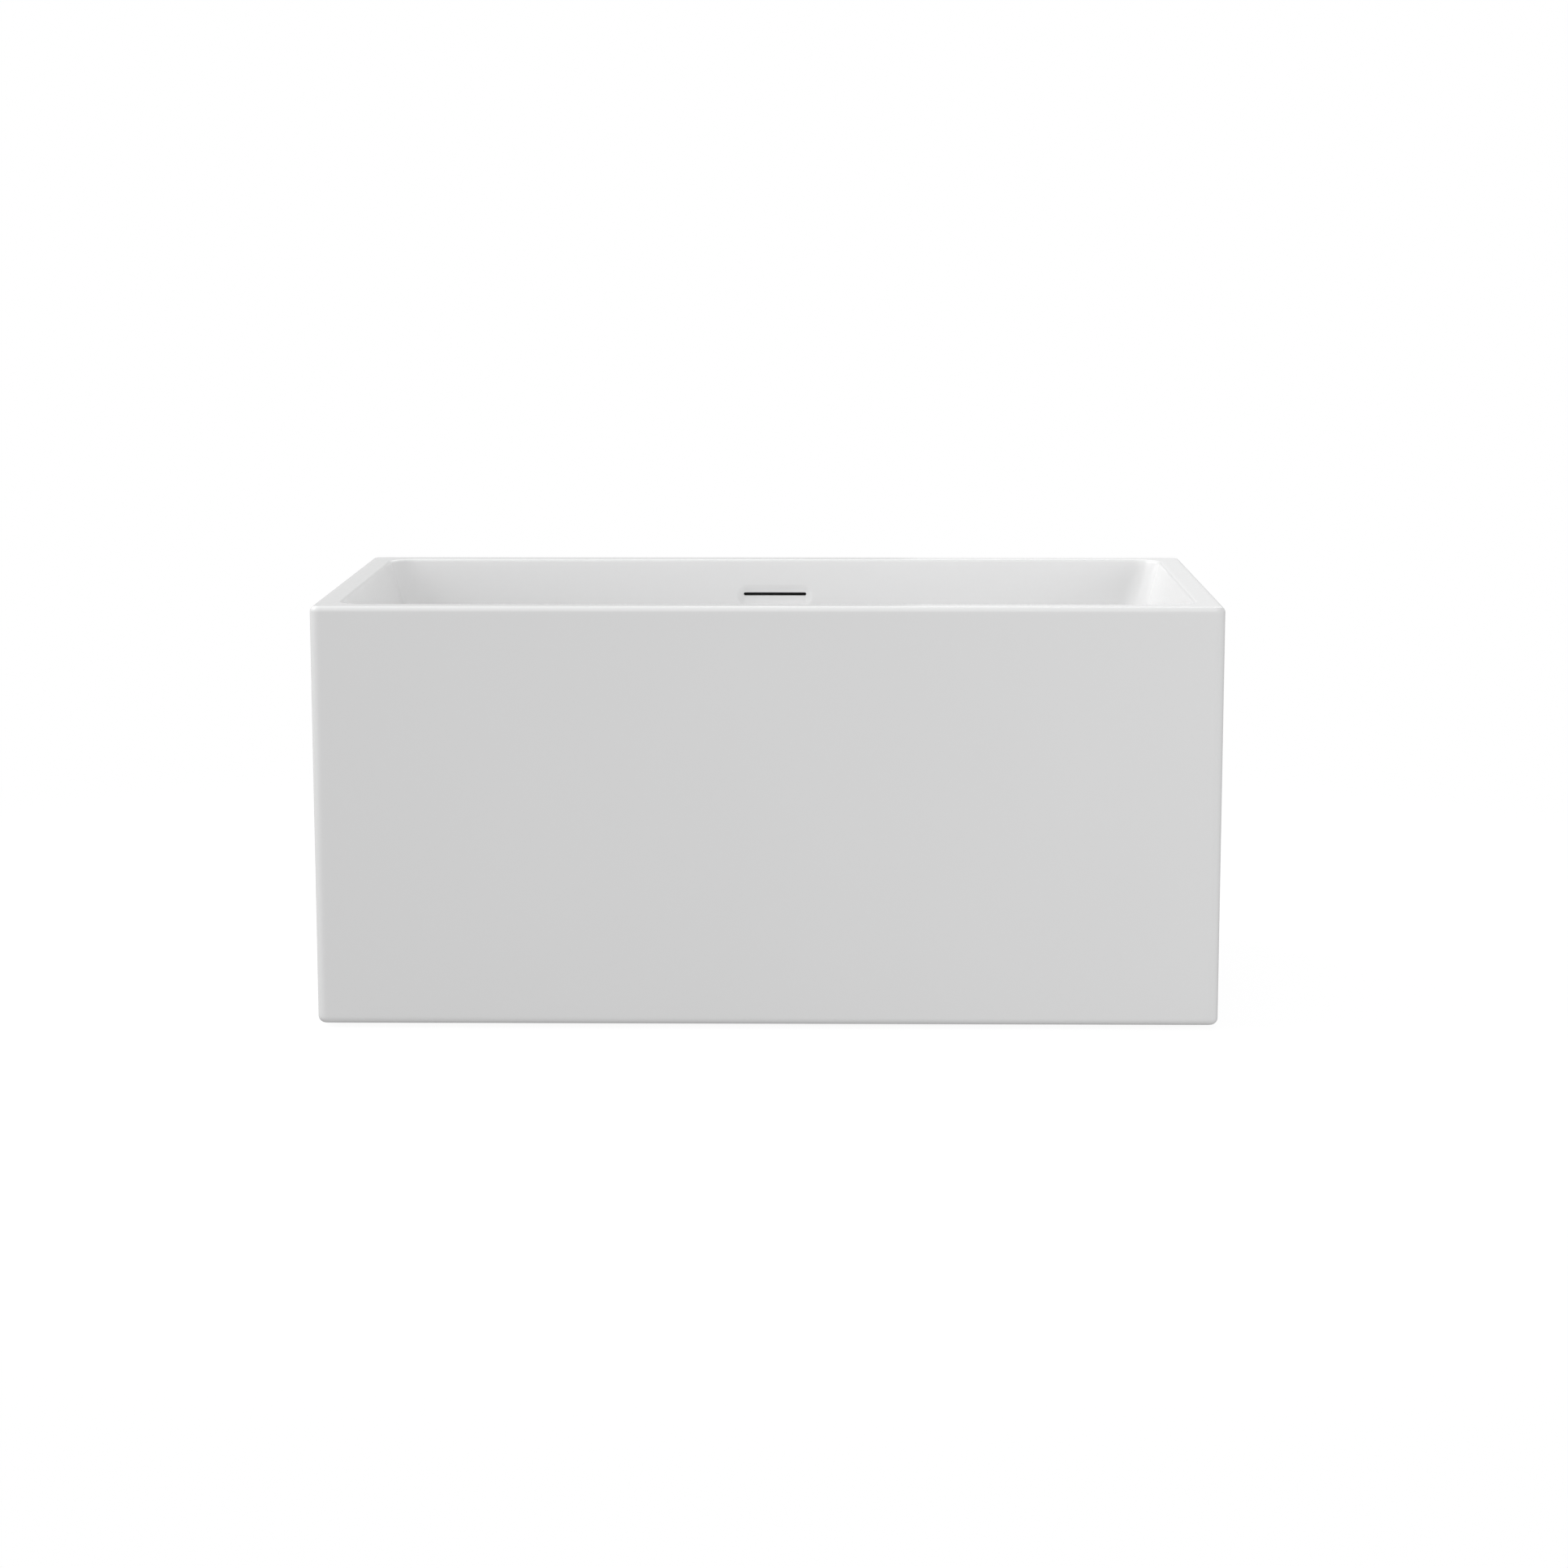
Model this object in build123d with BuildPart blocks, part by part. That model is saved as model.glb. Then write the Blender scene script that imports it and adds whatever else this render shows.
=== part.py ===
"""Rectangular freestanding acrylic bathtub with a slot overflow, a pop-up drain and five levelling feet.

Frame: +X along the tub's length, +Y towards the long wall that holds the overflow, +Z up.
The origin is on the floor, under the middle of the tub. All sizes are in millimetres.
"""

import os
from math import cos, radians, tan

from build123d import *

# ---- tub body -------------------------------------------------------------------------------------
length = 1295.0  # outside, along X
width = 718.0  # outside, along Y
height = 610.0  # floor to the top of the rim
floor_gap = 6.0  # the skirt stands clear of the floor by this much
corner_radius = 14.0  # upright outer corners, in plan
least_corner_radius = 2.0
rim_edge_radius = 8.0  # outer edge of the rim
rim_width = 37.0  # flat rim between the outer face and the well
rim_thickness = 6.0
lip_depth = 20.0  # the rim turns down this far and meets the skirt there
lip_wall = 5.0
glue_gap = 0.5  # adhesive film between the lip and the skirt's tongue

# ---- well -----------------------------------------------------------------------------------------
floor_height = 155.0  # inside floor of the well, above the room's floor
end_slope = 16.0  # backrests lean out, degrees from upright
side_slope = 6.0  # long walls lean out, degrees from upright
well_rim_radius = 38.0  # corners of the well in plan, at the rim
well_floor_radius = 60.0  # the same corners at the floor
cove_radius = 55.0  # curve between the walls and the floor
well_edge_radius = 5.0  # inner edge of the rim
basin_wall = 6.0

# ---- skirt ----------------------------------------------------------------------------------------
skirt_wall = 5.0
base_edge_radius = 10.0  # outer bottom edge
return_width = 25.0  # flange turned in along the bottom
return_corner_radius = 8.0
band_depth = 15.0  # thickened band below the tongue
tongue_height = 12.0  # stands inside the rim's lip

# ---- overflow -------------------------------------------------------------------------------------
overflow_drop = 55.5  # middle of the slot, below the top of the rim
slot_length = 100.0
slot_height = 5.0
dimple_radius = 32.0  # the slot lies in a shallow hollow
dimple_depth = 4.5
dimple_inset = 8.0  # the hollow's straight part ends this far inside each end of the slot
dimple_edge_radius = 12.0
pad_wall = 8.0  # material left behind the hollow
pad_size = (slot_length + 60.0, 62.0)
pad_corner_radius = 14.0
gasket_thickness = 1.5
box_wall = 2.0
box_depth = 15.0
box_size = (slot_length + 24.0, 56.0)
box_flange = (slot_length + 52.0, 56.0)
box_flange_thickness = 2.5
sump_length = 60.0
sump_drop = 20.0  # the deep part of the sump, below the pad
sump_clearance = 2.0  # from the pad above it
box_screw_spacing = (slot_length + 38.0, 34.0)
screw_radius = 1.9
screw_room = 0.3
screw_depth = 7.0  # into the pad
screw_end_gap = 1.0
screw_head = (3.6, 2.4)  # radius, height

# ---- hose between the overflow and the drain --------------------------------------------------------
spigot_radius = 11.0
spigot_wall = 2.0
spigot_length = 26.0
hose_fit = 0.1  # radial room of the hose on its spigots
hose_wall = 2.9
hose_end_gap = 2.0  # between each end of the hose and its fitting
hose_clearance = 6.0  # from the skirt
hose_under_rail = 7.0
hose_bend_radius = 140.0
clip_width = 9.0
clip_thickness = 1.2
clip_from_end = 9.0  # the clip's near edge, from the end of the hose
clip_ear = (5.0, 7.0)  # gap across the ears, height of the ears

# ---- drain ----------------------------------------------------------------------------------------
drain_from_back = 144.0  # from the foot of the back wall
recess_depth = 3.0
recess_room = 3.0  # round the flange
recess_edge_radius = 1.2
flange_radius = 35.0
flange_thickness = 3.0
flange_edge = (3.0, 1.0)  # bevel round the flange: how far in, and the height of the edge left
flange_mouth = (3.0, 4.0)  # funnel into the barrel: how far out of the bore's wall, and how deep
flange_gasket_thickness = 1.0
barrel_radius = 22.5
barrel_wall = 3.5
barrel_length = 50.0
drain_hole_room = 0.5  # radial room of the barrel in the floor of the well
spider_drop = 11.0  # from the underside of the flange to the top of the spider
spider_thickness = 4.0
spider_arm = 4.0
boss_wall = 3.5
thread_room = 0.1  # radial room in screwed joints
washer_thickness = 6.0
tee_wall = 4.4
tee_step = 1.0  # ledge that stops the tailpiece
tee_flange_width = 7.0
tee_flange_thickness = 5.0
tee_length = 85.0
tee_socket_depth = 41.0
tail_radius = 20.0
tail_neck_step = 0.5  # the part inside the tee is turned down by this much
tail_neck_gap = 2.0  # the full radius starts this far below the slip nut
tail_wall = 1.6
tail_length = 52.0
tail_socket_depth = 17.0
slip_washer_thickness = 2.0
slip_nut_length = 16.0
slip_nut_wall = 4.0
slip_nut_ribs = 12
slip_nut_rib = 3.0

# ---- pop-up plug ----------------------------------------------------------------------------------
plug_travel = 10.0
plug_gap = 0.3  # left between the seal and the flange when shut
cap_inset = 4.0  # from the rim of the flange
cap_thickness = 5.0
seal_thickness = 2.5
cap_edge = 1.0  # bevel round the cap, above and below
cap_rise = 1.5  # dome of the cap
seal_inset = 1.0  # from the edge of the cap
seal_width = 6.0
stem_radius = 3.5
stem_seat = 3.0  # the stem's thread in the cap
piston_radius = 5.2
piston_thickness = 3.0
guide_room = 0.08  # radial room of the stem and its piston
cartridge_side_wall = 1.72
cartridge_top = 8.0  # above the spider
cartridge_bottom = 24.0  # below the spider
cartridge_wall = 3.0
collar_width = 2.5
collar_thickness = 3.0
spring_radius = 4.2
spring_wire = 0.5
spring_turns = 8

# ---- base board and frame ---------------------------------------------------------------------------
board_thickness = 12.0
board_corner_radius = 14.0
board_margin = 14.0  # from the edge of the flat part of the floor
board_hole_radius = 55.0
tube = 30.0  # square steel tube
tube_wall = 2.0
tube_corner = 3.0
rail_inset = 25.0  # rail axis from the edge of the board
middle_rail_overhang = 75.0  # the middle rail runs past the board
rail_overhang = 5.0  # the outer rails run past the board
foot_inset_x = 247.5  # foot axis from the end of the tub
foot_inset_y = 119.0  # foot axis from the long side of the tub
cross_overhang = 30.0  # cross tubes run past the foot axes
middle_cross_end = 30.0  # the middle cross tube ends this far past the middle of the tub
cap_plug_depth = 10.0
cap_face = 2.5
cap_room = 0.2

# ---- brackets between the frame and the skirt --------------------------------------------------------
bracket_plate = 3.0
bracket_foot = (30.0, 32.0)  # across and along the plate
bracket_clearance = 1.0  # from the curve inside the skirt's bottom edge
bracket_grip = 70.0  # length of plate along the tube
bolt_radius = 3.0
bolt_room = 0.3
bolt_head = (bolt_radius + 2.8, 4.0)  # radius over the corners, height
bolt_spacing = 40.0
bolt_end = 4.0  # the bolt stands this far out of its nut
bracket_toe = 9.0  # height of the plate's outer end, above its foot
bracket_window = 10.0  # radius of the round window in the plate
skirt_screw_inset = 16.0  # from the skirt's outer face
countersink_radius = bolt_radius + 2.6

# ---- levelling feet ---------------------------------------------------------------------------------
pad_radius = 26.0
pad_edge_height = 6.0
pad_edge_chamfer = 2.0
pad_collar_walls = (8.5, 5.5)  # round the stud's button, at the collar's foot and at its top
pad_collar_from = 10.0
pad_height = 20.0
sole_inset = 3.0
sole_thickness = 3.0
sole_chamfer = 0.8
sole_recess = 1.5
stud_radius = 6.0
button_radius = stud_radius + 1.5  # the stud's end, trapped in the pad
button_from = 8.0
button_to = 12.0
button_room = 0.1
neck_radius = stud_radius - 1.5
neck_room = 0.08
stud_head_room = 1.0  # left over the stud when its foot is drawn right up
stud_chamfer = 1.0
hex_flats = 2 * stud_radius - 2.0
hex_from = 22.0
hex_to = 30.0
foot_nut_radius = stud_radius + 5.0  # over the corners
weld_nut_height = 10.0
jam_nut_height = 6.0
stud_hole_room = 0.5

# ---- spacers between the well and the skirt ----------------------------------------------------------
spacer_height = 350.0
spacer_size = (60.0, 40.0)
spacer_offset = 250.0  # along X from the middle

# ---- places worked out from the sizes above ----------------------------------------------------------
well_depth = height - floor_height
well_half_length = length / 2 - rim_width
well_half_width = width / 2 - rim_width
end_lean = tan(radians(end_slope))
side_lean = tan(radians(side_slope))
floor_half_length = well_half_length - well_depth * end_lean
floor_half_width = well_half_width - well_depth * side_lean
seam_height = height - lip_depth
band_inset = lip_wall + glue_gap + skirt_wall
skirt_inside_y = width / 2 - skirt_wall
skirt_inside_x = length / 2 - skirt_wall
base_inner_radius = base_edge_radius - skirt_wall

slot_z = height - overflow_drop
slot_wall_y = well_half_width - overflow_drop * side_lean
dimple_straight = slot_length - 2 * dimple_inset
dimple_y = slot_wall_y + dimple_depth - dimple_radius
pad_face_y = slot_wall_y + dimple_depth + pad_wall
box_front_y = pad_face_y + gasket_thickness
box_back_y = box_front_y + box_depth
spigot_bore = spigot_radius - spigot_wall
hose_radius = spigot_radius + hose_fit + hose_wall
hose_y = skirt_inside_y - hose_clearance - hose_radius
box_low = slot_z - box_size[1] / 2
sump_high = slot_z - pad_size[1] / 2 - sump_clearance
sump_low = sump_high - sump_drop
sump_front_y = hose_y - spigot_radius - box_wall

drain_y = floor_half_width - drain_from_back
drain_axis = Axis((0, drain_y, 0), (0, 0, 1))
flange_z = floor_height - recess_depth + flange_gasket_thickness
flange_top = flange_z + flange_thickness
recess_radius = flange_radius + recess_room
drain_hole_radius = barrel_radius + drain_hole_room
barrel_bore = barrel_radius - barrel_wall
basin_under = floor_height - basin_wall
tee_top = basin_under - washer_thickness
tee_bottom = tee_top - tee_length
tail_neck_radius = tail_radius - tail_neck_step
tail_bore = tail_neck_radius - tail_wall
tee_radius = max(barrel_radius, tail_radius) + thread_room + tee_wall
tee_flange_radius = tee_radius + tee_flange_width
tee_bore = min(barrel_bore, tail_bore + tee_step)
tail_top = tee_bottom + tail_socket_depth
tail_bottom = tee_bottom - tail_length
slip_nut_low = tee_bottom - slip_washer_thickness - slip_nut_wall
tail_neck_low = slip_nut_low - tail_neck_gap
spider_top = flange_z - spider_drop
spider_bottom = spider_top - spider_thickness
cartridge_high = spider_top + cartridge_top
cartridge_low = spider_bottom - cartridge_bottom
piston_top = cartridge_high - cartridge_wall - plug_gap - plug_travel
piston_bottom = piston_top - piston_thickness
spring_floor = cartridge_low + cartridge_wall
seal_bottom = flange_top + plug_gap
cap_bottom = seal_bottom + seal_thickness
cap_radius = flange_radius - cap_inset
seal_radius = cap_radius - seal_inset
cartridge_bore = piston_radius + guide_room
cartridge_radius = cartridge_bore + cartridge_side_wall
boss_radius = cartridge_radius + boss_wall
collar_radius = cartridge_radius + collar_width

cove_reach_x = cove_radius * tan(radians((90 - end_slope) / 2))
cove_reach_y = cove_radius * tan(radians((90 - side_slope) / 2))
board_half_length = floor_half_length - cove_reach_x - board_margin
board_half_width = floor_half_width - cove_reach_y - board_margin
board_under = basin_under - board_thickness
rail_z = board_under - tube / 2
rail_y = board_half_width - rail_inset
inlet_z = rail_z - tube / 2 - hose_under_rail - hose_radius  # the tee's side inlet
cross_z = rail_z - tube
cross_under = cross_z - tube / 2
stud_top = cross_z + tube / 2 - tube_wall - floor_gap - stud_head_room
foot_x = length / 2 - foot_inset_x
foot_y = width / 2 - foot_inset_y
cross_half = foot_y + cross_overhang
middle_rail_half = board_half_length + middle_rail_overhang
centre_foot_y = -rail_y / 2
return_top = floor_gap + skirt_wall
feet = {
    "front_left": (-foot_x, -foot_y),
    "front_right": (foot_x, -foot_y),
    "back_left": (-foot_x, foot_y),
    "back_right": (foot_x, foot_y),
    "centre": (0.0, centre_foot_y),
}


def write(piece, name):
    """Labels a finished piece and writes its STEP file."""
    piece.part.label = name
    export_step(piece.part, f"parts/{name}.step")


def outline(inset, mode=Mode.ADD):
    """The tub's outline in plan, moved in from its outer face."""
    radius = max(corner_radius - inset, least_corner_radius)
    RectangleRounded(length - 2 * inset, width - 2 * inset, radius, mode=mode)


def ring(outer, inner, low, high):
    """A band that follows the tub's outline between two insets and two heights."""
    with BuildSketch(Plane.XY.offset(low)) as band:
        outline(outer)
        outline(inner, Mode.SUBTRACT)
    extrude(band.sketch, amount=high - low)


def well_form(wall):
    """The well as a solid, with its sides and floor moved out by wall."""
    drop = well_depth + wall
    sections = [
        (floor_height - wall, drop, well_floor_radius + wall),
        (height, 0.0, well_rim_radius + wall),
    ]
    with BuildPart() as form:
        for level, below_rim, radius in sections:
            half_x = well_half_length - below_rim * end_lean + wall / cos(radians(end_slope))
            half_y = well_half_width - below_rim * side_lean + wall / cos(radians(side_slope))
            with BuildSketch(Plane.XY.offset(level)):
                RectangleRounded(2 * half_x, 2 * half_y, radius)
        loft(ruled=True)
        fillet(form.faces().sort_by(Axis.Z)[0].edges(), cove_radius + wall)
    return form.part


def facing_back(y):
    """An upright plane at y that faces +Y, with its own Y axis pointing up."""
    return Plane(origin=(0, y, 0), x_dir=(-1, 0, 0), z_dir=(0, 1, 0))


def turned(profile, axis=drain_axis):
    """Revolves (radius, height) points about an upright axis."""
    with BuildSketch(Plane(origin=axis.position, x_dir=(1, 0, 0), z_dir=(0, -1, 0))) as section:
        with BuildLine():
            Polyline(*profile, close=True)
        make_face()
    revolve(section.sketch, axis=axis)


def tube_wall_profile():
    """Section of the square steel tube."""
    RectangleRounded(tube, tube, tube_corner)
    RectangleRounded(
        tube - 2 * tube_wall, tube - 2 * tube_wall, tube_corner - tube_wall, mode=Mode.SUBTRACT
    )


os.makedirs("parts", exist_ok=True)
well_shape = well_form(0.0)
basin_shape = well_form(basin_wall)


# ---- basin: the inner shell, with the rim and its turned-down lip ------------------------------------
overflow_screws = [
    (x * box_screw_spacing[0] / 2, slot_z + z * box_screw_spacing[1] / 2)
    for x in (-1, 1)
    for z in (-1, 1)
]

with BuildPart() as basin:
    with BuildSketch(Plane.XY.offset(height - rim_thickness)):
        outline(0)
    extrude(amount=rim_thickness)
    ring(0, lip_wall, seam_height, height - rim_thickness)
    fillet(basin.faces().sort_by(Axis.Z)[-1].edges(), rim_edge_radius)
    add(basin_shape)
    with BuildSketch(facing_back(slot_wall_y)):
        with Locations((0, slot_z)):
            RectangleRounded(*pad_size, pad_corner_radius)
    extrude(amount=pad_face_y - slot_wall_y)
    add(well_shape, mode=Mode.SUBTRACT)
    fillet(basin.faces().sort_by(Axis.Z)[-1].inner_wires()[0].edges(), well_edge_radius)

    # the shallow hollow round the slot, then the slot itself
    with Locations((0, dimple_y, slot_z)):
        Cylinder(dimple_radius, dimple_straight, rotation=(0, 90, 0), mode=Mode.SUBTRACT)
    with Locations(*[(side * dimple_straight / 2, dimple_y, slot_z) for side in (-1, 1)]):
        Sphere(dimple_radius, mode=Mode.SUBTRACT)
    around_hollow = basin.edges().filter_by_position(
        Axis.Z, slot_z - dimple_radius, slot_z + dimple_radius
    )
    on_wall = around_hollow.filter_by_position(
        Axis.Y, slot_wall_y - dimple_depth / 2, slot_wall_y + dimple_depth / 2
    )
    fillet(on_wall.filter_by_position(Axis.X, -slot_length, slot_length), dimple_edge_radius)
    with BuildSketch(facing_back(slot_wall_y)):
        with Locations((0, slot_z)):
            SlotOverall(slot_length, slot_height)
    extrude(amount=pad_face_y - slot_wall_y, mode=Mode.SUBTRACT)
    with BuildSketch(facing_back(pad_face_y)):
        with Locations(*overflow_screws):
            Circle(screw_radius + thread_room)
    extrude(amount=-screw_depth - screw_end_gap, mode=Mode.SUBTRACT)

    # the recess and the hole for the drain
    with Locations((0, drain_y, floor_height)):
        Cylinder(
            recess_radius, recess_depth, align=(Align.CENTER, Align.CENTER, Align.MAX),
            mode=Mode.SUBTRACT,
        )
    low_edges = basin.edges().filter_by(GeomType.CIRCLE).filter_by_position(
        Axis.Z, floor_height - recess_depth - 0.1, floor_height + 0.1
    )
    fillet(low_edges.filter_by(lambda e: e.radius < recess_radius + 1), recess_edge_radius)
    with Locations((0, drain_y, basin_under)):
        Cylinder(drain_hole_radius, 4 * basin_wall, mode=Mode.SUBTRACT)
write(basin, "basin")


# ---- skirt: the outer shell, with a tongue at the top and a flange turned in at the bottom -----------
def skirt_screw_places():
    """Plan positions of the six screws that hold the skirt's flange to its brackets."""
    y = width / 2 - skirt_screw_inset
    x = length / 2 - skirt_screw_inset
    side = tube / 2 + bracket_foot[0] / 2
    places = [(sx * (foot_x + side), sy * y) for sx in (-1, 1) for sy in (-1, 1)]
    return places + [(sx * x, side) for sx in (-1, 1)]


with BuildPart() as skirt:
    with BuildSketch(Plane.XY.offset(floor_gap)):
        outline(0)
    extrude(amount=seam_height - floor_gap)
    fillet(skirt.faces().sort_by(Axis.Z)[0].edges(), base_edge_radius)
    with BuildSketch(Plane.XY.offset(return_top)):
        outline(skirt_wall)
    extrude(amount=seam_height - band_depth - return_top, mode=Mode.SUBTRACT)
    inner_corner = skirt.edges().filter_by(Plane.XY).filter_by_position(
        Axis.Z, return_top - 0.01, return_top + 0.01
    )
    fillet(inner_corner, base_inner_radius)
    with BuildSketch(Plane.XY.offset(seam_height - band_depth)):
        outline(band_inset)
    extrude(amount=band_depth, mode=Mode.SUBTRACT)
    with BuildSketch(Plane.XY.offset(floor_gap)):
        RectangleRounded(length - 2 * return_width, width - 2 * return_width, return_corner_radius)
    extrude(amount=skirt_wall, mode=Mode.SUBTRACT)
    ring(lip_wall + glue_gap, band_inset, seam_height, seam_height + tongue_height)
    with Locations(*[Plane((x, y, floor_gap), z_dir=(0, 0, -1)) for x, y in skirt_screw_places()]):
        CounterSinkHole(bolt_radius + bolt_room, countersink_radius + bolt_room, depth=skirt_wall)
write(skirt, "skirt")

with BuildPart() as rim_bond:
    ring(lip_wall + glue_gap, band_inset, seam_height + tongue_height, height - rim_thickness)
write(rim_bond, "rim_bond")

# ---- base board: laminated under the floor of the well -----------------------------------------------
with BuildPart() as base_board:
    with BuildSketch(Plane.XY.offset(board_under)):
        RectangleRounded(2 * board_half_length, 2 * board_half_width, board_corner_radius)
        with Locations((0, drain_y)):
            Circle(board_hole_radius, mode=Mode.SUBTRACT)
    extrude(amount=board_thickness)
write(base_board, "base_board")


# ---- steel frame: three rails under the board, three cross tubes under the rails ---------------------
def bolt_places(end, toward):
    """Places along a tube of the two bolts of the bracket near its end."""
    first = end - toward * (bracket_grip - bolt_spacing) / 2
    return [first, first - toward * bolt_spacing]


rails = {
    "rail_front": (-rail_y, board_half_length + rail_overhang),
    "rail_middle": (0.0, middle_rail_half),
    "rail_back": (rail_y, board_half_length + rail_overhang),
}
for name, (y, half) in rails.items():
    with BuildPart() as rail:
        with BuildSketch(Plane.YZ.offset(-half)):
            with Locations((y, rail_z)):
                tube_wall_profile()
        extrude(amount=2 * half)
        if name == "rail_middle":
            holes = [x for side in (-1, 1) for x in bolt_places(side * half, side)]
            with Locations(*[(x, y, rail_z) for x in holes]):
                Cylinder(
                    bolt_radius + bolt_room, 2 * tube, rotation=(90, 0, 0), mode=Mode.SUBTRACT
                )
    write(rail, name)

cross_tubes = {
    "cross_tube_left": (-foot_x, -cross_half, cross_half),
    "cross_tube_right": (foot_x, -cross_half, cross_half),
    "cross_tube_centre": (0.0, -rail_y - tube / 2, middle_cross_end),
}
for name, (x, start, end) in cross_tubes.items():
    with BuildPart() as cross:
        with BuildSketch(Plane.XZ.offset(-start)):
            with Locations((x, cross_z)):
                tube_wall_profile()
        extrude(amount=start - end)
        stud_places = [place for place in feet.values() if abs(place[0] - x) < 1]
        with Locations(*[(px, py, cross_under) for px, py in stud_places]):
            Cylinder(stud_radius + stud_hole_room, tube, mode=Mode.SUBTRACT)
        if x:
            holes = [y for side in (-1, 1) for y in bolt_places(side * cross_half, side)]
            with Locations(*[(x, y, cross_z) for y in holes]):
                Cylinder(
                    bolt_radius + bolt_room, 2 * tube, rotation=(0, 90, 0), mode=Mode.SUBTRACT
                )
    write(cross, name)

tube_ends = [Plane((side * half, y, rail_z), z_dir=(side, 0, 0)) for y, half in rails.values()
             for side in (-1, 1)]
tube_ends += [Plane((x, y, cross_z), z_dir=(0, side, 0)) for x, start, end in cross_tubes.values()
              for side, y in ((-1, start), (1, end))]
with BuildPart() as tube_end_caps:
    for place in tube_ends:
        with BuildSketch(place):
            RectangleRounded(tube, tube, tube_corner)
        extrude(amount=cap_face)
        with BuildSketch(place):
            inside = tube - 2 * (tube_wall + cap_room)
            RectangleRounded(inside, inside, tube_corner - tube_wall)
            Rectangle(inside - 2 * tube_wall, inside - 2 * tube_wall, mode=Mode.SUBTRACT)
        extrude(amount=-cap_plug_depth)
write(tube_end_caps, "tube_end_caps")


# ---- brackets: bent steel plates that tie the skirt's flange to the frame ----------------------------
def make_bracket(name, origin, along, side, tube_middle, reach):
    """origin is the tube's end, along points out to the skirt, side to the plate's face of the tube."""
    plate = Plane(origin=origin, x_dir=along, z_dir=side).offset(tube / 2)
    up = 1 if plate.y_dir.Z > 0 else -1
    low = return_top
    top = tube_middle + tube / 2 - tube_corner
    bottom = tube_middle - tube / 2 + tube_corner
    window_x = (2 * reach - bracket_foot[1] - bracket_grip) / 4
    window_z = (top + bottom + 2 * low + bracket_plate + bracket_toe) / 4
    with BuildPart() as bracket:
        with BuildSketch(plate):
            with BuildLine():
                Polyline(
                    (-bracket_grip, up * bottom), (-bracket_grip, up * top), (0, up * top),
                    (reach, up * (low + bracket_plate + bracket_toe)), (reach, up * low),
                    (reach - bracket_foot[1], up * low), close=True,
                )
            make_face()
            with Locations(*[(x, up * tube_middle) for x in bolt_places(0, 1)]):
                Circle(bolt_radius + bolt_room, mode=Mode.SUBTRACT)
            with Locations((window_x, up * window_z)):
                Circle(bracket_window, mode=Mode.SUBTRACT)
        extrude(amount=bracket_plate)
        with BuildSketch(plate):
            with Locations((reach - bracket_foot[1] / 2, up * (low + bracket_plate / 2))):
                Rectangle(bracket_foot[1], bracket_plate)
        extrude(amount=bracket_foot[0])
        with Locations(*[(x, y, low) for x, y in skirt_screw_places()]):
            Cylinder(bolt_radius + bolt_room, 4 * bracket_plate, mode=Mode.SUBTRACT)
    write(bracket, name)


side_reach = skirt_inside_y - base_inner_radius - bracket_clearance - cross_half
end_reach = skirt_inside_x - base_inner_radius - bracket_clearance - middle_rail_half
bolt_planes = []  # each faces along its bolt, at the plate's outer face
for end_name, sx in (("left", -1), ("right", 1)):
    for side_name, sy in (("front", -1), ("back", 1)):
        make_bracket(
            f"bracket_{side_name}_{end_name}", (sx * foot_x, sy * cross_half, 0),
            (0, sy, 0), (sx, 0, 0), cross_z, side_reach,
        )
        bolt_planes += [
            Plane((sx * (foot_x + tube / 2 + bracket_plate), y, cross_z), z_dir=(sx, 0, 0))
            for y in bolt_places(sy * cross_half, sy)
        ]
    make_bracket(
        f"bracket_{end_name}", (sx * middle_rail_half, 0, 0), (sx, 0, 0), (0, 1, 0),
        rail_z, end_reach,
    )
    bolt_planes += [
        Plane((x, tube / 2 + bracket_plate, rail_z), z_dir=(0, 1, 0))
        for x in bolt_places(sx * middle_rail_half, sx)
    ]

with BuildPart() as bracket_bolts:
    for place in bolt_planes:
        with BuildSketch(place):
            RegularPolygon(bolt_head[0], 6)
        extrude(amount=bolt_head[1])
        with BuildSketch(place):
            Circle(bolt_radius)
        extrude(amount=-(tube + bracket_plate + bolt_head[1] + bolt_end))
write(bracket_bolts, "bracket_bolts")

screw_tip = return_top + bracket_plate + bolt_head[1] + bolt_end
with BuildPart() as skirt_screws:
    for x, y in skirt_screw_places():
        turned(
            [(0, floor_gap), (countersink_radius, floor_gap),
             (bolt_radius, floor_gap + countersink_radius - bolt_radius),
             (bolt_radius, screw_tip), (0, screw_tip)],
            Axis((x, y, 0), (0, 0, 1)),
        )
write(skirt_screws, "skirt_screws")

nut_planes = [place.offset(-(tube + bracket_plate)) for place in bolt_planes]
nut_planes += [
    Plane((x, y, return_top + bracket_plate), z_dir=(0, 0, -1)) for x, y in skirt_screw_places()
]
with BuildPart() as bracket_nuts:
    for place in nut_planes:
        with BuildSketch(place):
            RegularPolygon(bolt_head[0], 6)
            Circle(bolt_radius + thread_room, mode=Mode.SUBTRACT)
        extrude(amount=-bolt_head[1])
write(bracket_nuts, "bracket_nuts")


# ---- levelling feet: a weld nut and a jam nut under the tube, a stud, a pad with a rubber sole --------
def foot_nuts(low, high):
    """One hexagon nut on the axis of every foot."""
    with BuildSketch(Plane.XY.offset(low)) as nuts:
        with Locations(*feet.values()):
            RegularPolygon(foot_nut_radius, 6)
            Circle(stud_radius + thread_room, mode=Mode.SUBTRACT)
    extrude(nuts.sketch, amount=high - low)


with BuildPart() as foot_weld_nuts:
    foot_nuts(cross_under - weld_nut_height, cross_under)
write(foot_weld_nuts, "foot_weld_nuts")

with BuildPart() as foot_jam_nuts:
    foot_nuts(cross_under - weld_nut_height - jam_nut_height, cross_under - weld_nut_height)
write(foot_jam_nuts, "foot_jam_nuts")

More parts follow.
